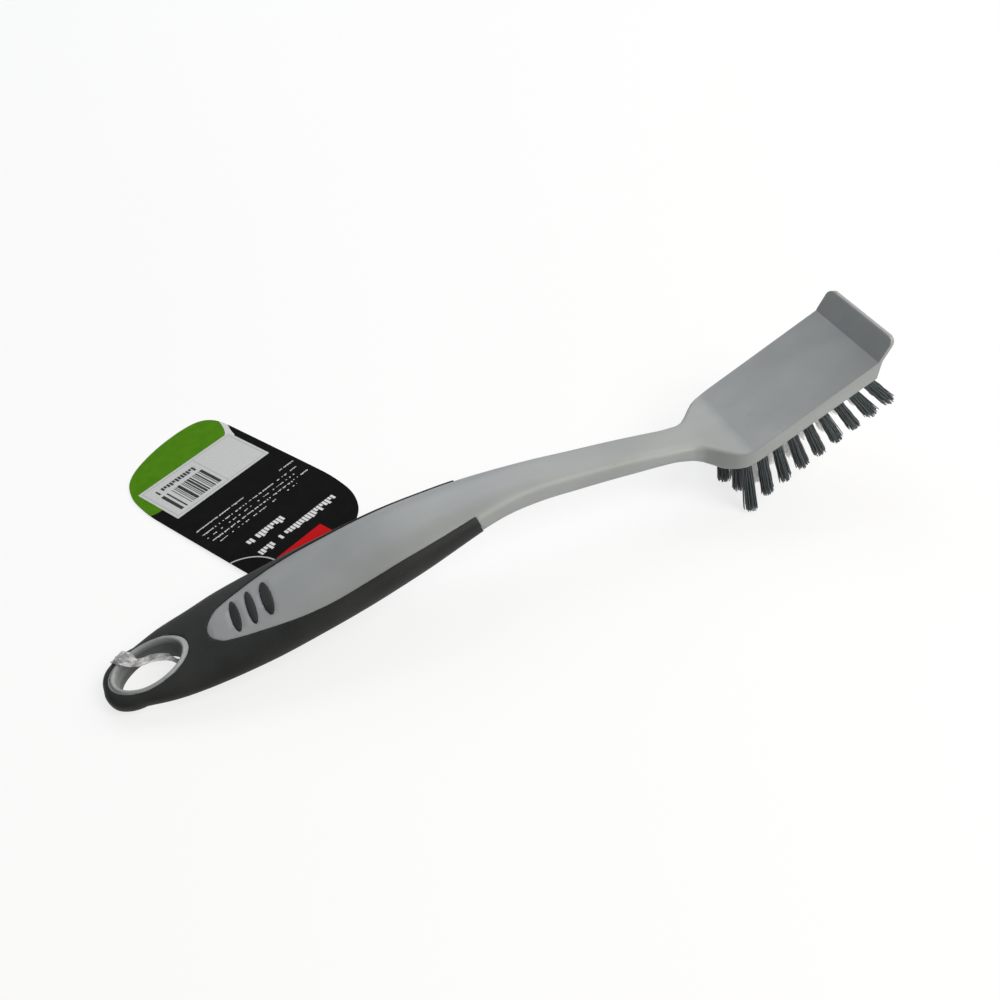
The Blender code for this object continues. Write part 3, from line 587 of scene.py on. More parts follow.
def bore_shade(place):
    """0 on open surfaces, rising to 1 down the wall of the hanging eye, deepest at its foot and its front."""
    x, y, z = axes_of(place)
    along = (x - (EYE_RUN - REST_RUN)) / (EYE_LENGTH / 2)
    reach = radius_at(along, y / (EYE_WIDTH / 2))
    rear, front = (top_at(EYE_RUN + side * EYE_LENGTH / 2, 0) for side in (-1, 1))
    below = along * ((front - rear) / 2) + (front + rear) / 2 - z
    wall = reach.between(*WALL_SPAN_SHARES) * below.between(*WALL_TOP_SPAN)
    return wall * highest(below.between(*WALL_FOOT_SPAN), along.between(-1.0, -0.3, 0.45, 1.0))


def moulded_plastic():
    """Satin grey moulding: fine spark texture, faint flow marks, cloudy colour and a few specks."""
    material, place = surface("moulded_grey", IOR=1.49, Specular_IOR_Level=0.42)
    flow = noise(stretched(place, 9.0, 70.0, 70.0), 1.6, 3.0)
    speck = noise(place, 420.0).between(0.71, 0.76)
    tone = noise(place, 42.0, 3.0).between(0.35, 0.65).mix((0.292, 0.305, 0.304), (0.322, 0.336, 0.334))
    tone = flow.between(0.40, 0.75, 0.0, 0.35).mix(tone, (0.262, 0.284, 0.290))
    tone = (speck * 0.30).mix(tone, (0.19, 0.20, 0.205))
    tone = bore_shade(place).mix(tone, (0.062, 0.066, 0.067))
    rough = flow.spread(0.40, 0.52) + speck * 0.1
    grain = noise(place, 2600.0).bump(0.00002, 0.35)
    ripple = noise(place, 120.0).bump(0.00008, 0.25, Normal=grain)
    return finish(material, Base_Color=tone, Roughness=rough, Normal=ripple)


def soft_rubber():
    """Charcoal soft-touch skin: fine matt grain with painted sparkle in small light specks."""
    material, place = surface("soft_touch", IOR=1.45, Specular_IOR_Level=0.22, Sheen_Weight=0.03)
    cloud = noise(place, 60.0, 4.0)
    painted_sparkle = noise(place, 1500.0, 2.0, 0.7).between(0.60, 0.74)
    tone = cloud.spread().mix((0.018, 0.0200, 0.0195), (0.029, 0.031, 0.029))
    # painted sparkle: small light specks mixed into the colour
    tone = (painted_sparkle * 0.28).mix(tone, (0.070, 0.073, 0.068))
    grain = noise(place, 2100.0, 4.0, 0.62).bump(0.00004, 0.45)
    return finish(material, Base_Color=tone, Roughness=cloud.spread(0.50, 0.62), Normal=grain)


def filament(name, low, high, rough, painted_glow=0.0):
    """Crimped bristle plastic whose tone drifts along each filament; pale ones get a faint painted glow in
    place of the light that passes through them.
    """
    # the emission strength is a painted glow, not a lamp
    material, place = surface(name, IOR=1.5, Specular_IOR_Level=0.5, Emission_Strength=painted_glow)
    drift = noise(place, 900.0)
    rough = drift.spread(rough - 0.06, rough + 0.1)
    grain = noise(place, 5200.0, 1.0).bump(0.00002, 0.3)
    return finish(material, Base_Color=drift.spread().mix(low, high), Roughness=rough, Normal=grain)


def block(x, y, low_x, high_x, low_y, high_y):
    """1 inside an upright rectangle, else 0."""
    return (x > low_x) * (x < high_x) * (y > low_y) * (y < high_y)


def chance_in(value, cell, seed):
    """Random number that is the same all over each cell along a line."""
    column = (value / cell).calc("FLOOR")
    key = node(value.tree, "ShaderNodeCombineXYZ", X=column, Y=seed).outputs[0]
    return Field(node(value.tree, "ShaderNodeTexWhiteNoise", Vector=key).outputs["Value"])


def print_row(x, y, low_x, high_x, low_y, high_y, cell, keep, seed):
    """1 on a row of plain strokes in cells along Y, some left out and some cut short, else 0."""
    foot = chance_in(y, cell, seed + FOOT_SEED) * ((high_x - low_x) * FOOT_SHARE) + low_x
    kept = (chance_in(y, cell, seed) < keep) * ((y / cell).calc("FRACT") < STROKE_SHARE) * (x > foot)
    return kept * block(x, y, low_x, high_x, low_y, high_y)


def edge_line(y, points):
    """X of a smooth line across the card at each Y, through (Y, X) points."""
    low, high = EDGE_SPAN
    near, far = EDGE_REACH
    made = node(y.tree, "ShaderNodeFloatCurve", Value=y.between(low, high))
    line = made.mapping.curves[0]
    for number, (across, along) in enumerate(points):
        spot = (across - low) / (high - low), (along - near) / (far - near)
        if number < len(line.points):
            line.points[number].location = spot
        else:
            line.points.new(*spot)
    made.mapping.update()
    return Field(made.outputs[0]) * (far - near) + near


def printed_card():
    """Coated card: green end, white swoosh, black field, red patch, and plain strokes in place of words."""
    material, place = surface("printed_card", IOR=1.5, Specular_IOR_Level=0.03)
    x, y = [axis * MILLIMETRES for axis in axes_of(place)[:2]]
    marks = highest(*[print_row(x, y, *row) for row in PRINT_ROWS])
    arc = (radius_at(x, y, *ARC_CENTRE) - ARC_RADIUS).calc("ABSOLUTE") < ARC_HALF
    red = block(x, y, *RED_PATCH) * (radius_at(x, y) > RED_CLEAR)
    ink = noise(place, 260.0, 3.0)
    tone = ink.spread().mix((0.0040, 0.0040, 0.0042), (0.0075, 0.0075, 0.008))
    tone = (marks * 0.92).mix(tone, (0.72, 0.72, 0.72))
    tone = arc.mix(tone, (0.50, 0.50, 0.50))
    tone = red.mix(tone, (0.50, 0.008, 0.010))
    tone = (x > edge_line(y, BLACK_EDGE)).mix(tone, (0.60, 0.61, 0.62))
    leaf = ink.spread().mix((0.060, 0.190, 0.004), (0.074, 0.222, 0.006))
    tone = (x > edge_line(y, GREEN_EDGE)).mix(tone, leaf)
    grain = noise(place, 700.0, 3.0).bump(0.00002, 0.2)
    return finish(material, Base_Color=tone, Roughness=ink.spread(0.62, 0.72), Normal=grain)


def card_board():
    """Uncoated white board of the card's cut edge and underside."""
    material, place = surface("card_board", IOR=1.45, Specular_IOR_Level=0.2)
    fibre = noise(stretched(place, 1.0, 4.0, 4.0), 900.0, 4.0)
    tone = fibre.spread().mix((0.50, 0.50, 0.48), (0.62, 0.62, 0.60))
    grain = noise(place, 1800.0).bump(0.00003, 0.4)
    return finish(material, Base_Color=tone, Roughness=fibre.spread(0.7, 0.85), Normal=grain)


def printed_label():
    """Pale paper label with plain bars, a row of plain ticks and thin rules."""
    material, place = surface("printed_label", IOR=1.45, Specular_IOR_Level=0.12)
    x, y = [axis * MILLIMETRES for axis in axes_of(place)[:2]]
    bars = (chance_in(y, BAR_CELL, BAR_SEED) < BAR_KEPT) * block(x, y, *BAR_FIELD)
    frame_line = block(x, y, *LABEL_FRAME) - block(x, y, *LABEL_FRAME_INNER)
    faint = highest(block(x, y, *LABEL_RULE), frame_line) * 0.42
    fibre = noise(stretched(place, 1.0, 3.0, 3.0), 700.0, 4.0)
    tone = fibre.spread().mix((0.49, 0.505, 0.505), (0.555, 0.57, 0.57))
    tone = highest(bars, print_row(x, y, *TICK_ROW), faint).mix(tone, (0.03, 0.03, 0.032))
    grain = noise(place, 1500.0, 3.0).bump(0.00002, 0.3)
    return finish(material, Base_Color=tone, Roughness=fibre.spread(0.5, 0.62), Normal=grain)


def clear_film():
    """Hazy clear strap with creases that catch the light."""
    material, place = surface("hazy_film", IOR=1.45, Specular_IOR_Level=0.6)
    crease = noise(stretched(place, 1.0, 1.0, 2.0), 330.0, 4.0, 0.6)
    tone = crease.between(0.35, 0.65).mix((0.47, 0.47, 0.49), (0.70, 0.70, 0.72))
    grain = noise(place, 800.0, 3.0).bump(0.0002, 0.6)
    haze = crease.between(0.38, 0.66, 0.36, 0.82)
    return finish(material, Base_Color=tone, Roughness=crease.spread(0.12, 0.3), Normal=grain, Alpha=haze)


def fine_runs(inset, last):
    """Close runs of the sections: dense in the rounded nose and where the neck widens into the head."""
    turns = [1 - math.cos(QUARTER_TURN * step / NOSE_STEPS) for step in range(NOSE_STEPS + 1)]
    runs = [inset + (NOSE_LENGTH - inset) * turn for turn in turns]
    while runs[-1] + STATION_STEP < HANDLE_LENGTH * NECK_END_SHARE:
        runs.append(runs[-1] + STATION_STEP)
    start, stop = FLARE_SPAN_SHARES
    runs += list(np.linspace(HANDLE_LENGTH * start, HANDLE_LENGTH * stop, FLARE_STEPS))
    runs += [HANDLE_LENGTH * share for share in HEAD_START_SHARES]
    return [run for run in runs if run < last] + [last]


def lip_stations():
    """Heights up the lip's back face, each with the lip's half width there."""
    half = HEAD_WIDTH / 2
    rows = [(LIP_HEIGHT * share, half) for share in LIP_LOW_SHARES]
    for step in range(LIP_CORNER_STEPS + 1):
        turn = QUARTER_TURN * step / LIP_CORNER_STEPS
        rise = LIP_HEIGHT - LIP_CORNER + LIP_CORNER * math.sin(turn)
        rows.append((rise, half - LIP_CORNER + LIP_CORNER * math.cos(turn)))
    return rows


def lip_rings():
    """Sections that turn up from the head's front into the scraper lip."""
    lean = math.radians(LIP_LEAN)
    along = Vector((math.cos(lean), 0, math.sin(lean)))
    outward = Vector((math.sin(lean), 0, -math.cos(lean)))
    front = HANDLE_LENGTH + HEAD_LENGTH
    root = Vector((front - REST_RUN, 0, head_back(front)))
    foot = Vector((front - REST_RUN, 0, head_underside(front)))
    shares = straight(ROUND_SHARES, front / HANDLE_LENGTH)
    rings = []
    for rise, half in lip_stations():
        share = rise / LIP_HEIGHT
        back = root + along * (rise - LIP_EDGE_ROUND * share)
        slant = along * LIP_SLANT * straight(LIP_SLANT_SHARES, share)
        face = back + slant + outward * LIP_ROOT * float(spline(LIP_THICK_SHARES, share))
        face = foot.lerp(face, straight(LIP_TURN_SHARES, share))
        rings.append((half, face, back))
    half, face, back = rings[-1]
    middle = (face + back) / 2
    for turn in [math.radians(angle) for angle in LIP_EDGE_ANGLES]:
        lift = along * LIP_EDGE_ROUND * math.sin(turn)
        less = LIP_EDGE_ROUND * (1 - math.cos(turn))
        inward = 1 - less / (face - middle).length
        edges = [middle + (side - middle) * inward + lift for side in (face, back)]
        rings.append((half - less, *edges))
    return [rounded_ring(half, face, (face + back) / 2, back, shares) for half, face, back in rings]


def outer_shape(proud=0.0):
    """The whole outer shape: handle, neck, flare, head and lip, raised by a length from the panel on."""
    rings = []
    for run in fine_runs(0.0, HANDLE_LENGTH + HEAD_LENGTH):
        rings.append(section(run, -proud * max(float(spline(PROUD_SHARES, run / GRIP_LENGTH)), 0.0)))
    return loft(rings + lip_rings())


def panel_prism(grow):
    """Space of the grey panel in the grip's top, from the middle of the handle up."""
    length = GRIP_LENGTH - PANEL_RUN
    tip = [PANEL_TIP_SHARE * (step / PANEL_TIP_STEPS) ** 2 for step in range(PANEL_TIP_STEPS)]
    rings = []
    for along_share in tip + list(np.linspace(PANEL_TIP_SHARE, PANEL_SHARES[-1][0], PANEL_STEPS)):
        across_share = float(spline(PANEL_SHARES, along_share))
        run = PANEL_RUN + length * along_share - grow
        half = half_width(run) * across_share + grow
        low, high = heights(run)
        floor = low + (high - low) * PANEL_FLOOR_SHARE - grow
        top = high + CUT_OVERRUN
        corners = ((-half, floor), (half, floor), (half, top), (-half, top))
        rings.append([Vector((run - REST_RUN, y, z)) for y, z in corners])
    return loft(rings)


def oval(length, width, ahead, sides=EYE_SIDES):
    """Points round an ellipse centred on the handle's middle line."""
    turns = [FULL_TURN * step / sides for step in range(sides)]
    return [(ahead + length / 2 * math.cos(turn), width / 2 * math.sin(turn)) for turn in turns]


def rim_prism(grow):
    """Space of the grey rim round the hanging eye, right through the handle."""
    length = EYE_LENGTH + RIM_END * 2 + grow * 2
    width = EYE_WIDTH + RIM_SIDE * 2 + grow * 2
    return prism(oval(length, width, EYE_RUN - REST_RUN), -CUT_OVERRUN, ARCH_HEIGHT)


def neck_block(grow):
    """Space past the grip's slanted front end, which holds the neck and the head."""
    middle = middle_height(GRIP_LENGTH, *heights(GRIP_LENGTH))
    slant = math.radians(GRIP_END_SLANT)
    facing = Vector((math.cos(slant), 0, math.sin(slant)))
    down = Vector((math.sin(slant), 0, -math.cos(slant)))
    start = Vector((GRIP_LENGTH - REST_RUN, 0, middle)) - facing * grow
    reach = HANDLE_LENGTH + HEAD_LENGTH
    width = GRIP_WIDTH + HEAD_WIDTH
    sides = ((-reach, 0), (reach, 0), (reach, reach), (-reach, reach))
    corners = [start + down * along + facing * out for along, out in sides]
    return loft([[corner + Vector((0, y, 0)) for corner in corners] for y in (-width, width)])


def top_at(run, aside):
    """Height of the outer surface over a place on the table."""
    half, low, middle, high = section_sizes(run, 0.0)
    shares = straight(ROUND_SHARES, run / HANDLE_LENGTH)
    across = half * shares[0]
    up = (high - middle) * shares[1]
    over = max(abs(aside) - half + across, 0.0) / across
    return high - up + up * math.sqrt(max(1 - over * over, 0.0))


def eye_cutter():
    """The hanging eye, a little narrower at the table than at the top."""
    ahead = EYE_RUN - REST_RUN
    high = heights(EYE_RUN)[1] + CUT_OVERRUN
    tight = oval(EYE_LENGTH - EYE_DRAFT * 2, EYE_WIDTH - EYE_DRAFT, ahead)
    wide = oval(EYE_LENGTH, EYE_WIDTH, ahead)
    rows = ((tight, -CUT_OVERRUN), (tight, 0.0), (wide, high - CUT_OVERRUN), (wide, high + CUT_OVERRUN))
    return loft([[Vector((x, y, z)) for x, y in outline] for outline, z in rows])


def eye_bead(grow):
    """Round bead that stands a little proud along the hanging eye's upper edge."""
    course = oval(EYE_LENGTH + BEAD_ASIDE * 2, EYE_WIDTH + BEAD_ASIDE * 2, EYE_RUN - REST_RUN)
    turns = [FULL_TURN * step / BEAD_STEPS for step in range(BEAD_STEPS)]
    upward = Vector((0, 0, BEAD_RADIUS + grow))
    rings = []
    for before, (x, y), after in zip(course[-1:] + course, course, course[1:] + course[:1]):
        outward = Vector((after[1] - before[1], before[0] - after[0], 0)).normalized() * upward.z
        middle = Vector((x, y, top_at(x + REST_RUN, y) - BEAD_SUNK))
        rings.append([middle + outward * math.cos(turn) + upward * math.sin(turn) for turn in turns])
    return loft(rings, closed=True)


def buried_core(grow):
    """Core under the soft skin, running on past the grip's front end."""
    inset = SKIN_THICKNESS - grow
    last = GRIP_LENGTH + NOSE_LENGTH
    runs = fine_runs(SKIN_THICKNESS, last)[4::4]
    return loft([section(run, inset, BURIED_STEPS) for run in [inset] + runs])


def hard_space(grow):
    """Everything that the hard core may fill: buried core, panel, rim and neck."""
    return combine(buried_core(grow), "UNION", panel_prism(grow), rim_prism(grow), neck_block(grow))


def pad_prisms(grow):
    """The oval thumb pads, right through the handle."""
    pads = []
    for number, (length_share, width_share) in enumerate(PAD_SHARES):
        ahead = PAD_RUN + PAD_PITCH * number - REST_RUN
        width, length = PAD_LENGTH * width_share, PAD_LENGTH * length_share
        outline = oval(width + grow * 2, length + grow * 2, ahead, PAD_SIDES)
        pads.append(prism(outline, -CUT_OVERRUN, ARCH_HEIGHT + CUT_OVERRUN))
    return pads


def row_shares(row):
    """Shares of the tufts' reach across the head, for the tufts in a row."""
    if row == 0:
        return FIRST_ROW_SHARES
    if row == TUFT_ROWS - 1:
        return FULL_ROW_SHARES
    return ODD_ROW_SHARES if row % 2 else EVEN_ROW_SHARES


def tuft_places():
    """Root place, outward direction and row and column of every tuft."""
    tilt = math.radians(HEAD_TILT)
    first = HANDLE_LENGTH - FIRST_ROW_INSET
    last = HANDLE_LENGTH + HEAD_LENGTH - LAST_ROW_INSET
    side = HEAD_WIDTH / 2 - SIDE_INSET
    places = []
    for row in range(TUFT_ROWS):
        along = row / (TUFT_ROWS - 1)
        run = first + (last - first) * along
        lean = math.radians(FIRST_LEAN + (LAST_LEAN - FIRST_LEAN) * along)
        for column, share in enumerate(row_shares(row)):
            splay = math.tan(math.radians(SIDE_SPLAY)) * share
            step = 0.0 if row else FIRST_ROW_STEP * FIRST_STEP_SHARES[column]
            root = Vector((run + step - REST_RUN, side * share, head_underside(run + step)))
            direction = Vector((math.sin(lean), splay, -math.cos(lean))).normalized()
            places.append((root, direction, row, column))
    return places


def tuft_frame(root, direction):
    """Placement of a tuft: its own Z leaves the head, its own Y stays across the brush."""
    ahead = Vector((0, 1, 0)).cross(direction).normalized()
    across = direction.cross(ahead)
    return Matrix.Translation(root) @ Matrix((ahead, across, direction)).transposed().to_4x4()


def hole_cutters():
    """One blind hole for each tuft, as separate round bodies in one cutter."""
    shape = bmesh.new()
    centre = (HOLE_RADIUS * 2 - HOLE_DEPTH) / 2
    for root, direction, row, column in tuft_places():
        bmesh.ops.create_cone(
            shape, cap_ends=True, segments=HOLE_SIDES, radius1=HOLE_RADIUS, radius2=HOLE_RADIUS,
            depth=HOLE_RADIUS * 2 + HOLE_DEPTH,
            matrix=tuft_frame(root, direction) @ Matrix.Translation((0, 0, centre)))
    return make_object(shape)


def trim_plane(row):
    """Place on and outward direction of the plane that trims a row: the table's for the first row."""
    if row == 0:
        return Vector((0, 0, 0)), Vector((0, 0, -1))
    slant = math.radians(TRIM_TILT)
    return Vector((HANDLE_LENGTH - REST_RUN, 0, TRIM_HEIGHT)), Vector((math.sin(slant), 0, -math.cos(slant)))


def is_pale(row, column):
    """Whether a tuft is pale: those that are not in the outer ring."""
    return 0 < row < TUFT_ROWS - 1 and 0 < column < len(row_shares(row)) - 1


def rounded(made):
    """Small round on every crisp edge from the handle's end to a little past the grip's front end, then
    smooth shading.
    """
    shape = bmesh.new()
    shape.from_mesh(made.data)
    bmesh.ops.remove_doubles(shape, verts=shape.verts, dist=WELD_REACH)
    bmesh.ops.dissolve_degenerate(shape, edges=shape.edges, dist=WELD_REACH)
    last = GRIP_LENGTH + NOSE_LENGTH - REST_RUN
    crisp = [edge for edge in shape.edges if len(edge.link_faces) == 2]
    crisp = [edge for edge in crisp if edge.calc_face_angle() > math.radians(CRISP_ANGLE)]
    crisp = [edge for edge in crisp if max(vert.co.x for vert in edge.verts) < last]
    bmesh.ops.bevel(
        shape, geom=crisp, offset=EDGE_ROUND, offset_type="OFFSET", segments=2, profile=0.5,
        affect="EDGES", clamp_overlap=False)
    shape.to_mesh(made.data)
    shape.free()
    return smooth(made, BODY_SMOOTH_ANGLE)


def dress(made, name, materials, body, replaced):
    """Names a piece, gives it its materials and body, and hides the CAD node that it stands for."""
    made.name = name
    made.data.name = name
    made.data.materials.clear()
    for one in materials:
        made.data.materials.append(one)
    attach(made, body)
    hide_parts(replaced)
    return made


def moulding(material):
    """Hard body with its seams drawn tight against the soft skin."""
    core = combine(outer_shape(), "INTERSECT", hard_space(0.0))
    combine(core, "DIFFERENCE", *pad_prisms(SEAM_GAP), eye_cutter())
    combine(core, "UNION", eye_bead(0.0))
    combine(core, "DIFFERENCE", hole_cutters())
    return dress(rounded(core), "moulding", [material], "brush", "core_body")


def grip_skin(material):
    """Soft skin with the thumb pads that rise through the panel."""
    space = combine(hard_space(SEAM_GAP), "DIFFERENCE", *pad_prisms(0.0))
    grip = combine(outer_shape(SKIN_PROUD), "DIFFERENCE", space, eye_bead(SEAM_GAP))
    return dress(rounded(grip), "grip_skin", [material], "brush", "soft_grip")


def filament_points(start, heading, crimp, phase, reach, place):
    """Centre line of one crimped filament, from inside its hole to its trimmed tip."""
    points = []
    for step in range(FILAMENT_STEPS + 1):
        along = -ROOT_DEPTH + (reach + ROOT_DEPTH) * step / FILAMENT_STEPS
        wave = math.sin(along / CRIMP_PITCH * FULL_TURN + phase) * min(max(along, 0) / CRIMP_FADE, 1.0)
        world = place @ (start + heading * along + crimp * wave)
        world.z = max(world.z, FILAMENT_RADIUS * TABLE_CLEAR_SHARE)
        world.y = min(max(world.y, -BRISTLE_REACH), BRISTLE_REACH)
        points.append(world)
    return points


def tube(shape, points, index, turn):
    """Thin four-sided filament along points, capped at both ends."""
    rings = []
    turns = [QUARTER_TURN * k + turn for k in range(4)]
    for before, point, after in zip(points[:1] + points, points, points[1:] + points[-1:]):
        ahead = (after - before).normalized()
        side = ahead.orthogonal().normalized()
        other = ahead.cross(side)
        thin = FILAMENT_RADIUS * (TIP_SHARE if after is point else 1.0)
        spots = [point + (side * math.cos(c) + other * math.sin(c)) * thin for c in turns]
        rings.append([shape.verts.new(spot) for spot in spots])
    for face in wrap(shape, rings):
        face.material_index = index
        face.smooth = True
    for ring in (rings[0][::-1], rings[-1]):
        shape.faces.new(ring).material_index = index


def bundle(number, tuft, materials):
    """Full tuft of crimped filaments that flare a little towards their tips."""
    root, direction, row, column = tuft
    chance = random.Random(FILAMENT_SEED + number)
    place = tuft_frame(root, direction)
    back = place.inverted()
    spot, normal = trim_plane(row)
    spot, normal = back @ spot, back.to_3x3() @ normal
    shape = bmesh.new()
    phase = chance.uniform(0, DRAWN_TURN)
    trim = FIRST_ROW_TRIM[column] if row == 0 else 0.0
    for k in range(FILAMENTS):
        out = BUNDLE_RADIUS * math.sqrt((k + 0.5) / FILAMENTS)
        angle = k * GOLDEN_ANGLE + chance.uniform(-PLACE_DRIFT, PLACE_DRIFT)
        start = Vector((out * math.cos(angle), out * math.sin(angle), 0))
        flare = chance.uniform(*(STRAY_SPAN if chance.random() <= STRAY_SHARE else FLARE_SPAN))
        outward = start.normalized() * flare * (out / BUNDLE_RADIUS)
        wander = Vector((chance.uniform(-WANDER, WANDER), chance.uniform(-WANDER, WANDER), 0))
        heading = (Vector((0, 0, 1)) + outward + wander).normalized()
        swing = chance.uniform(0, DRAWN_TURN)
        crimp = Vector((math.cos(swing), math.sin(swing), 0)) * CRIMP_HEIGHT
        shift = phase + chance.uniform(-PHASE_DRIFT, PHASE_DRIFT)
        short = trim + chance.uniform(0, TIP_DRIFT) + TIP_ROUND * (out / BUNDLE_RADIUS) ** 3
        reach = (spot - start).dot(normal) / heading.dot(normal) - short
        points = filament_points(start, heading, crimp, shift, reach, place)
        index = chance.choices(range(len(materials)), weights=TONE_WEIGHTS[:len(materials)])[0]
        tube(shape, points, index, chance.uniform(0, CORNER_DRIFT))
    spot_name = f"{row + 1}_{column + 1}"
    made = make_object(shape)
    return dress(made, f"bundle_{spot_name}", materials, "brush", f"tuft_{spot_name}")


def bundles():
    """Every bristle bundle: dark ones round the edge of the head and pale ones inside."""
    kinds = {slot: [filament(*row) for row in rows] for slot, rows in BRISTLE_TONES.items()}
    for number, tuft in enumerate(tuft_places()):
        slot = "pale_bristle" if is_pale(*tuft[2:]) else "dark_bristle"
        bundle(number, tuft, kinds[slot])


def tag_frame():
    """Placement of the tag: its own origin is its hole, its own X runs to its far end."""
    turn = Matrix.Rotation(math.radians(TAG_HEADING), 4, "Z")
    aside = GRIP_WIDTH / 2 + TAG_ASIDE
    return Matrix.Translation((TAG_AHEAD - REST_RUN, aside, 0)) @ turn


def tag_outline():
    """Outline of the tag round its hole: two skew round ends, each the other turned about."""
    end = [(TAG_LENGTH / 2 * x, TAG_WIDTH / 2 * y) for x, y in TAG_END_SHARES]
    hole_x = TAG_LENGTH / 2 - TAG_HOLE_INSET
    hole_y = TAG_WIDTH * TAG_HOLE_SIDE_SHARE
    return [(x + hole_x, y - hole_y) for x, y in end + [(-x, -y) for x, y in end]]


def card_height(x):
    """Height of the card's underside at a distance along the tag from its hole."""
    far = TAG_LENGTH - TAG_HOLE_INSET
    return CARD_LIFT * (far - x) / far


def sheet_slab(outline, hole, below, thickness):
    """Thin slab on the card's slope, with or without a hole: its top in the first material."""
    made = prism(outline, -CARD_LIFT, CARD_LIFT)
    if hole:
        cutter = prism(oval(hole * 2, hole * 2, 0, CARD_HOLE_SIDES), -CUT_OVERRUN, CUT_OVERRUN)
        combine(made, "DIFFERENCE", cutter)
    for vert in made.data.vertices:
        vert.co.z = card_height(vert.co.x) + below + (thickness if vert.co.z > 0 else 0)
    made.data.update()
    for face in made.data.polygons:
        face.material_index = 0 if face.normal.z > TOP_FACING else 1
    made.matrix_world = tag_frame()
    return made


def smooth_loop(points, times):
    """Closed outline with its corners cut back, several times over."""
    near, far = CORNER_CUT_SHARES
    for _ in range(times):
        cut = []
        for (x0, y0), (x1, y1) in zip(points, points[1:] + points[:1]):
            cut.append((x0 * near + x1 * far, y0 * near + y1 * far))
            cut.append((x0 * far + x1 * near, y0 * far + y1 * near))
        points = cut
    return points


def tag():
    """The printed card and its label, in the tag's own frame."""
    board = card_board()
    card = sheet_slab(smooth_loop(tag_outline(), 2), TAG_HOLE_RADIUS, 0.0, CARD_THICKNESS)
    dress(card, "printed_tag", [printed_card(), board], "tag", "hang_tag")
    far = TAG_LENGTH * LABEL_FAR_SHARE
    aside = TAG_WIDTH * LABEL_SIDE_SHARE - TAG_WIDTH * TAG_HOLE_SIDE_SHARE
    outline = []
    for side_x, side_y, turn in ((1, -1, -90), (1, 1, 0), (-1, 1, 90), (-1, -1, 180)):
        for step in range(LABEL_CORNER_STEPS + 1):
            angle = math.radians(turn + 90 * step / LABEL_CORNER_STEPS)
            outline.append((
                far + side_x * (LABEL_LENGTH / 2 - LABEL_CORNER) + LABEL_CORNER * math.cos(angle),
                aside + side_y * (LABEL_WIDTH / 2 - LABEL_CORNER) + LABEL_CORNER * math.sin(angle)))
    label = sheet_slab(outline, 0, CARD_THICKNESS + LABEL_GAP, LABEL_THICKNESS)
    dress(label, "bar_label", [printed_label(), board], "tag", "tag_label")


def strap_rows():
    """Places round the strap's loop, each with its middle, heading, tilt and width."""
    eye = Vector((EYE_RUN - REST_RUN, 0, 0))
    size = Vector((EYE_LENGTH / 2, EYE_WIDTH / 2, heights(EYE_RUN)[1]))
    hole = tag_frame().translation
    rows = []
    for x, y, z, heading, tilt, width in STRAP_EYE_SHARES:
        rows.append((*(eye + Vector((x * size.x, y * size.y, z * size.z))), heading, tilt, width))
    first, last = Vector(rows[0][:3]), Vector(rows[-1][:3])
    tail = []
    for share, lift in STRAP_BACK_SHARES:
        tail.append((*last.lerp(hole, share).xy, lift, STRAP_HOLE_SHARES[0][-1]))
    for out, lift, heading in STRAP_HOLE_SHARES:
        course = math.radians(heading) + QUARTER_TURN
        reach = TAG_HOLE_RADIUS * out
        tail.append((hole.x + reach * math.cos(course), hole.y + reach * math.sin(course), lift, heading))
    for share, lift in STRAP_UNDER_SHARES:
        tail.append((*first.lerp(hole, share).xy, lift, STRAP_HOLE_SHARES[-1][-1]))
    return rows + [(x, y, CARD_LIFT * lift, heading, 0, STRAP_TAIL_SHARE) for x, y, lift, heading in tail]


def strap(material):
    """Clear strap: a loop of thin film, creased along its length."""
    rows = strap_rows()
    rows = rows[-2:] + rows + rows[:3]
    steps = [(Vector(after[:3]) - Vector(before[:3])).length for before, after in zip(rows, rows[1:])]
    places = [0.0, *np.cumsum(steps)]
    table = list(zip(places, rows))
    stations = []
    for start, stop in zip(places[2:-3], places[3:-2]):
        stations += [start + (stop - start) * step / STRAP_STEPS for step in range(STRAP_STEPS)]
    courses = [spline(table, place) for place in stations]
    middles = [Vector(course[:3]) for course in courses]
    rings = []
    for number, (x, y, z, heading, tilt, share) in enumerate(courses):
        ahead = middles[(number + 1) % len(middles)] - middles[number - 1]
        turn, rise = math.radians(heading), math.radians(tilt)
        across = Vector((math.cos(turn) * math.cos(rise), math.sin(turn) * math.cos(rise), math.sin(rise)))
        face = ahead.cross(across).normalized()
        side = across * STRAP_WIDTH * share / 2
        crumple = EYE_CRUMPLE if share > WIDE_SHARE else TAIL_CRUMPLE
        spots = []
        for step in range(STRAP_SIDE_STEPS + 1):
            place = step / STRAP_SIDE_STEPS * 2 - 1
            fold = sum(high * math.sin(place * over + number * on) for high, over, on in FOLD_WAVES)
            spots.append(middles[number] + side * place + face * fold * crumple)
        lift = face * STRAP_THICKNESS / 4
        rings.append([spot + lift for spot in spots] + [spot - lift for spot in spots[::-1]])
    made = smooth(loft(rings, closed=True), STRAP_SMOOTH_ANGLE)
    return dress(made, "film_strap", [material], "brush", "tag_strap")


def seen_by(tree, *kinds):
    """1 for rays of the given kinds, else 0."""
    rays = node(tree, "ShaderNodeLightPath").outputs
    return highest(*[Field(rays[f"Is {kind} Ray"]) for kind in kinds])


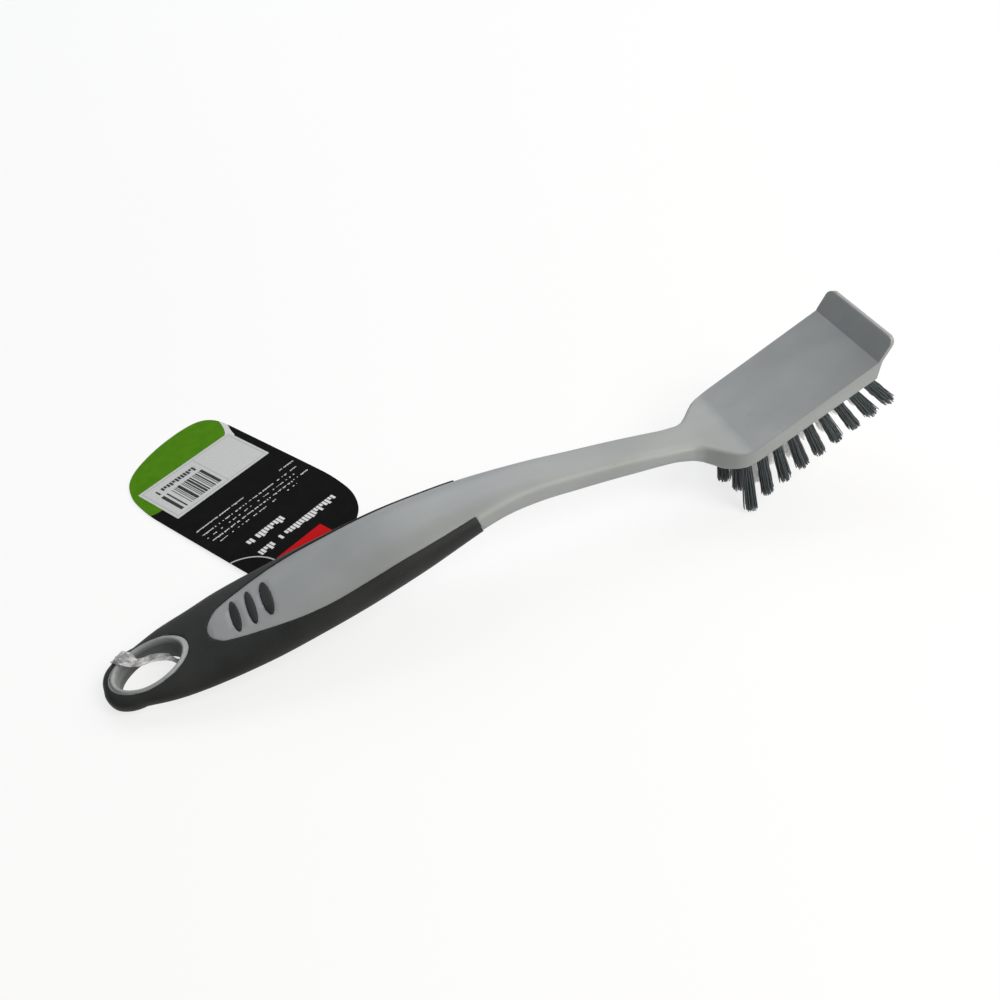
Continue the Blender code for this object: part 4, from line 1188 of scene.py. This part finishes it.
def ground():
    """Pale floor that keeps the shadow and meets a white ground."""
    material = surface("pale_floor", Base_Color=FLOOR_TONE, Roughness=0.9, Specular_IOR_Level=0.0)[0]
    tree = material.node_tree
    seen = seen_by(tree, "Camera", "Glossy", "Transmission") * FLOOR_WHITE
    plain = tree.nodes["Principled BSDF"].outputs[0]
    white = node(tree, "ShaderNodeEmission", Color=WHITE, Strength=1.0).outputs[0]
    mix = node(tree, "ShaderNodeMixShader", n0=seen, n1=plain, n2=white)
    feed(tree.nodes["Material Output"], {"Surface": mix.outputs[0]})
    low, high = -FLOOR_REACH, FLOOR_REACH
    made = prism([(low, low), (high, low), (high, high), (low, high)], -FLOOR_DEPTH, -FLOOR_GAP)
    made.name = "floor"
    made.data.materials.append(material)


def sky():
    """Faint even light from all round, seen as white."""
    world = bpy.context.scene.world or bpy.data.worlds.new("world")
    bpy.context.scene.world = world
    world.use_nodes = True
    tree = world.node_tree
    tree.nodes.clear()
    seen = seen_by(tree, "Camera", "Transmission")
    soft = node(tree, "ShaderNodeBackground", Color=SKY_TONE, Strength=SKY_LEVEL).outputs[0]
    white = node(tree, "ShaderNodeBackground", Color=WHITE, Strength=1.0).outputs[0]
    mix = node(tree, "ShaderNodeMixShader", n0=seen, n1=soft, n2=white)
    node(tree, "ShaderNodeOutputWorld", Surface=mix.outputs[0])


def lamp(name, towards, distance, size, power, colour):
    """Soft square lamp that faces the middle of the brush."""
    data = bpy.data.lights.new(name, "AREA")
    data.shape = "SQUARE"
    data.size = size
    data.energy = power
    data.color = colour
    facing = Vector(towards).normalized()
    turn = facing.to_track_quat("Z", "Y").to_matrix().to_4x4()
    linked(name, data).matrix_world = Matrix.Translation(Vector(LAMP_AIM) + facing * distance) @ turn


def camera():
    """Camera at the photograph's viewpoint."""
    data = bpy.data.cameras.new("view")
    data.lens = CAMERA_LENS
    data.sensor_width = CAMERA_SENSOR
    made = linked("view", data)
    right, up = Vector(CAMERA_RIGHT), Vector(CAMERA_UP)
    turn = Matrix((right, up, right.cross(up))).transposed().to_4x4()
    made.matrix_world = Matrix.Translation(CAMERA_PLACE) @ turn
    bpy.context.scene.camera = made


camera()
ground()
sky()
for row in LAMPS:
    lamp(*row)
moulding(moulded_plastic())
grip_skin(soft_rubber())
bundles()
tag()
strap(clear_film())
bpy.context.scene.view_settings.view_transform = "Standard"
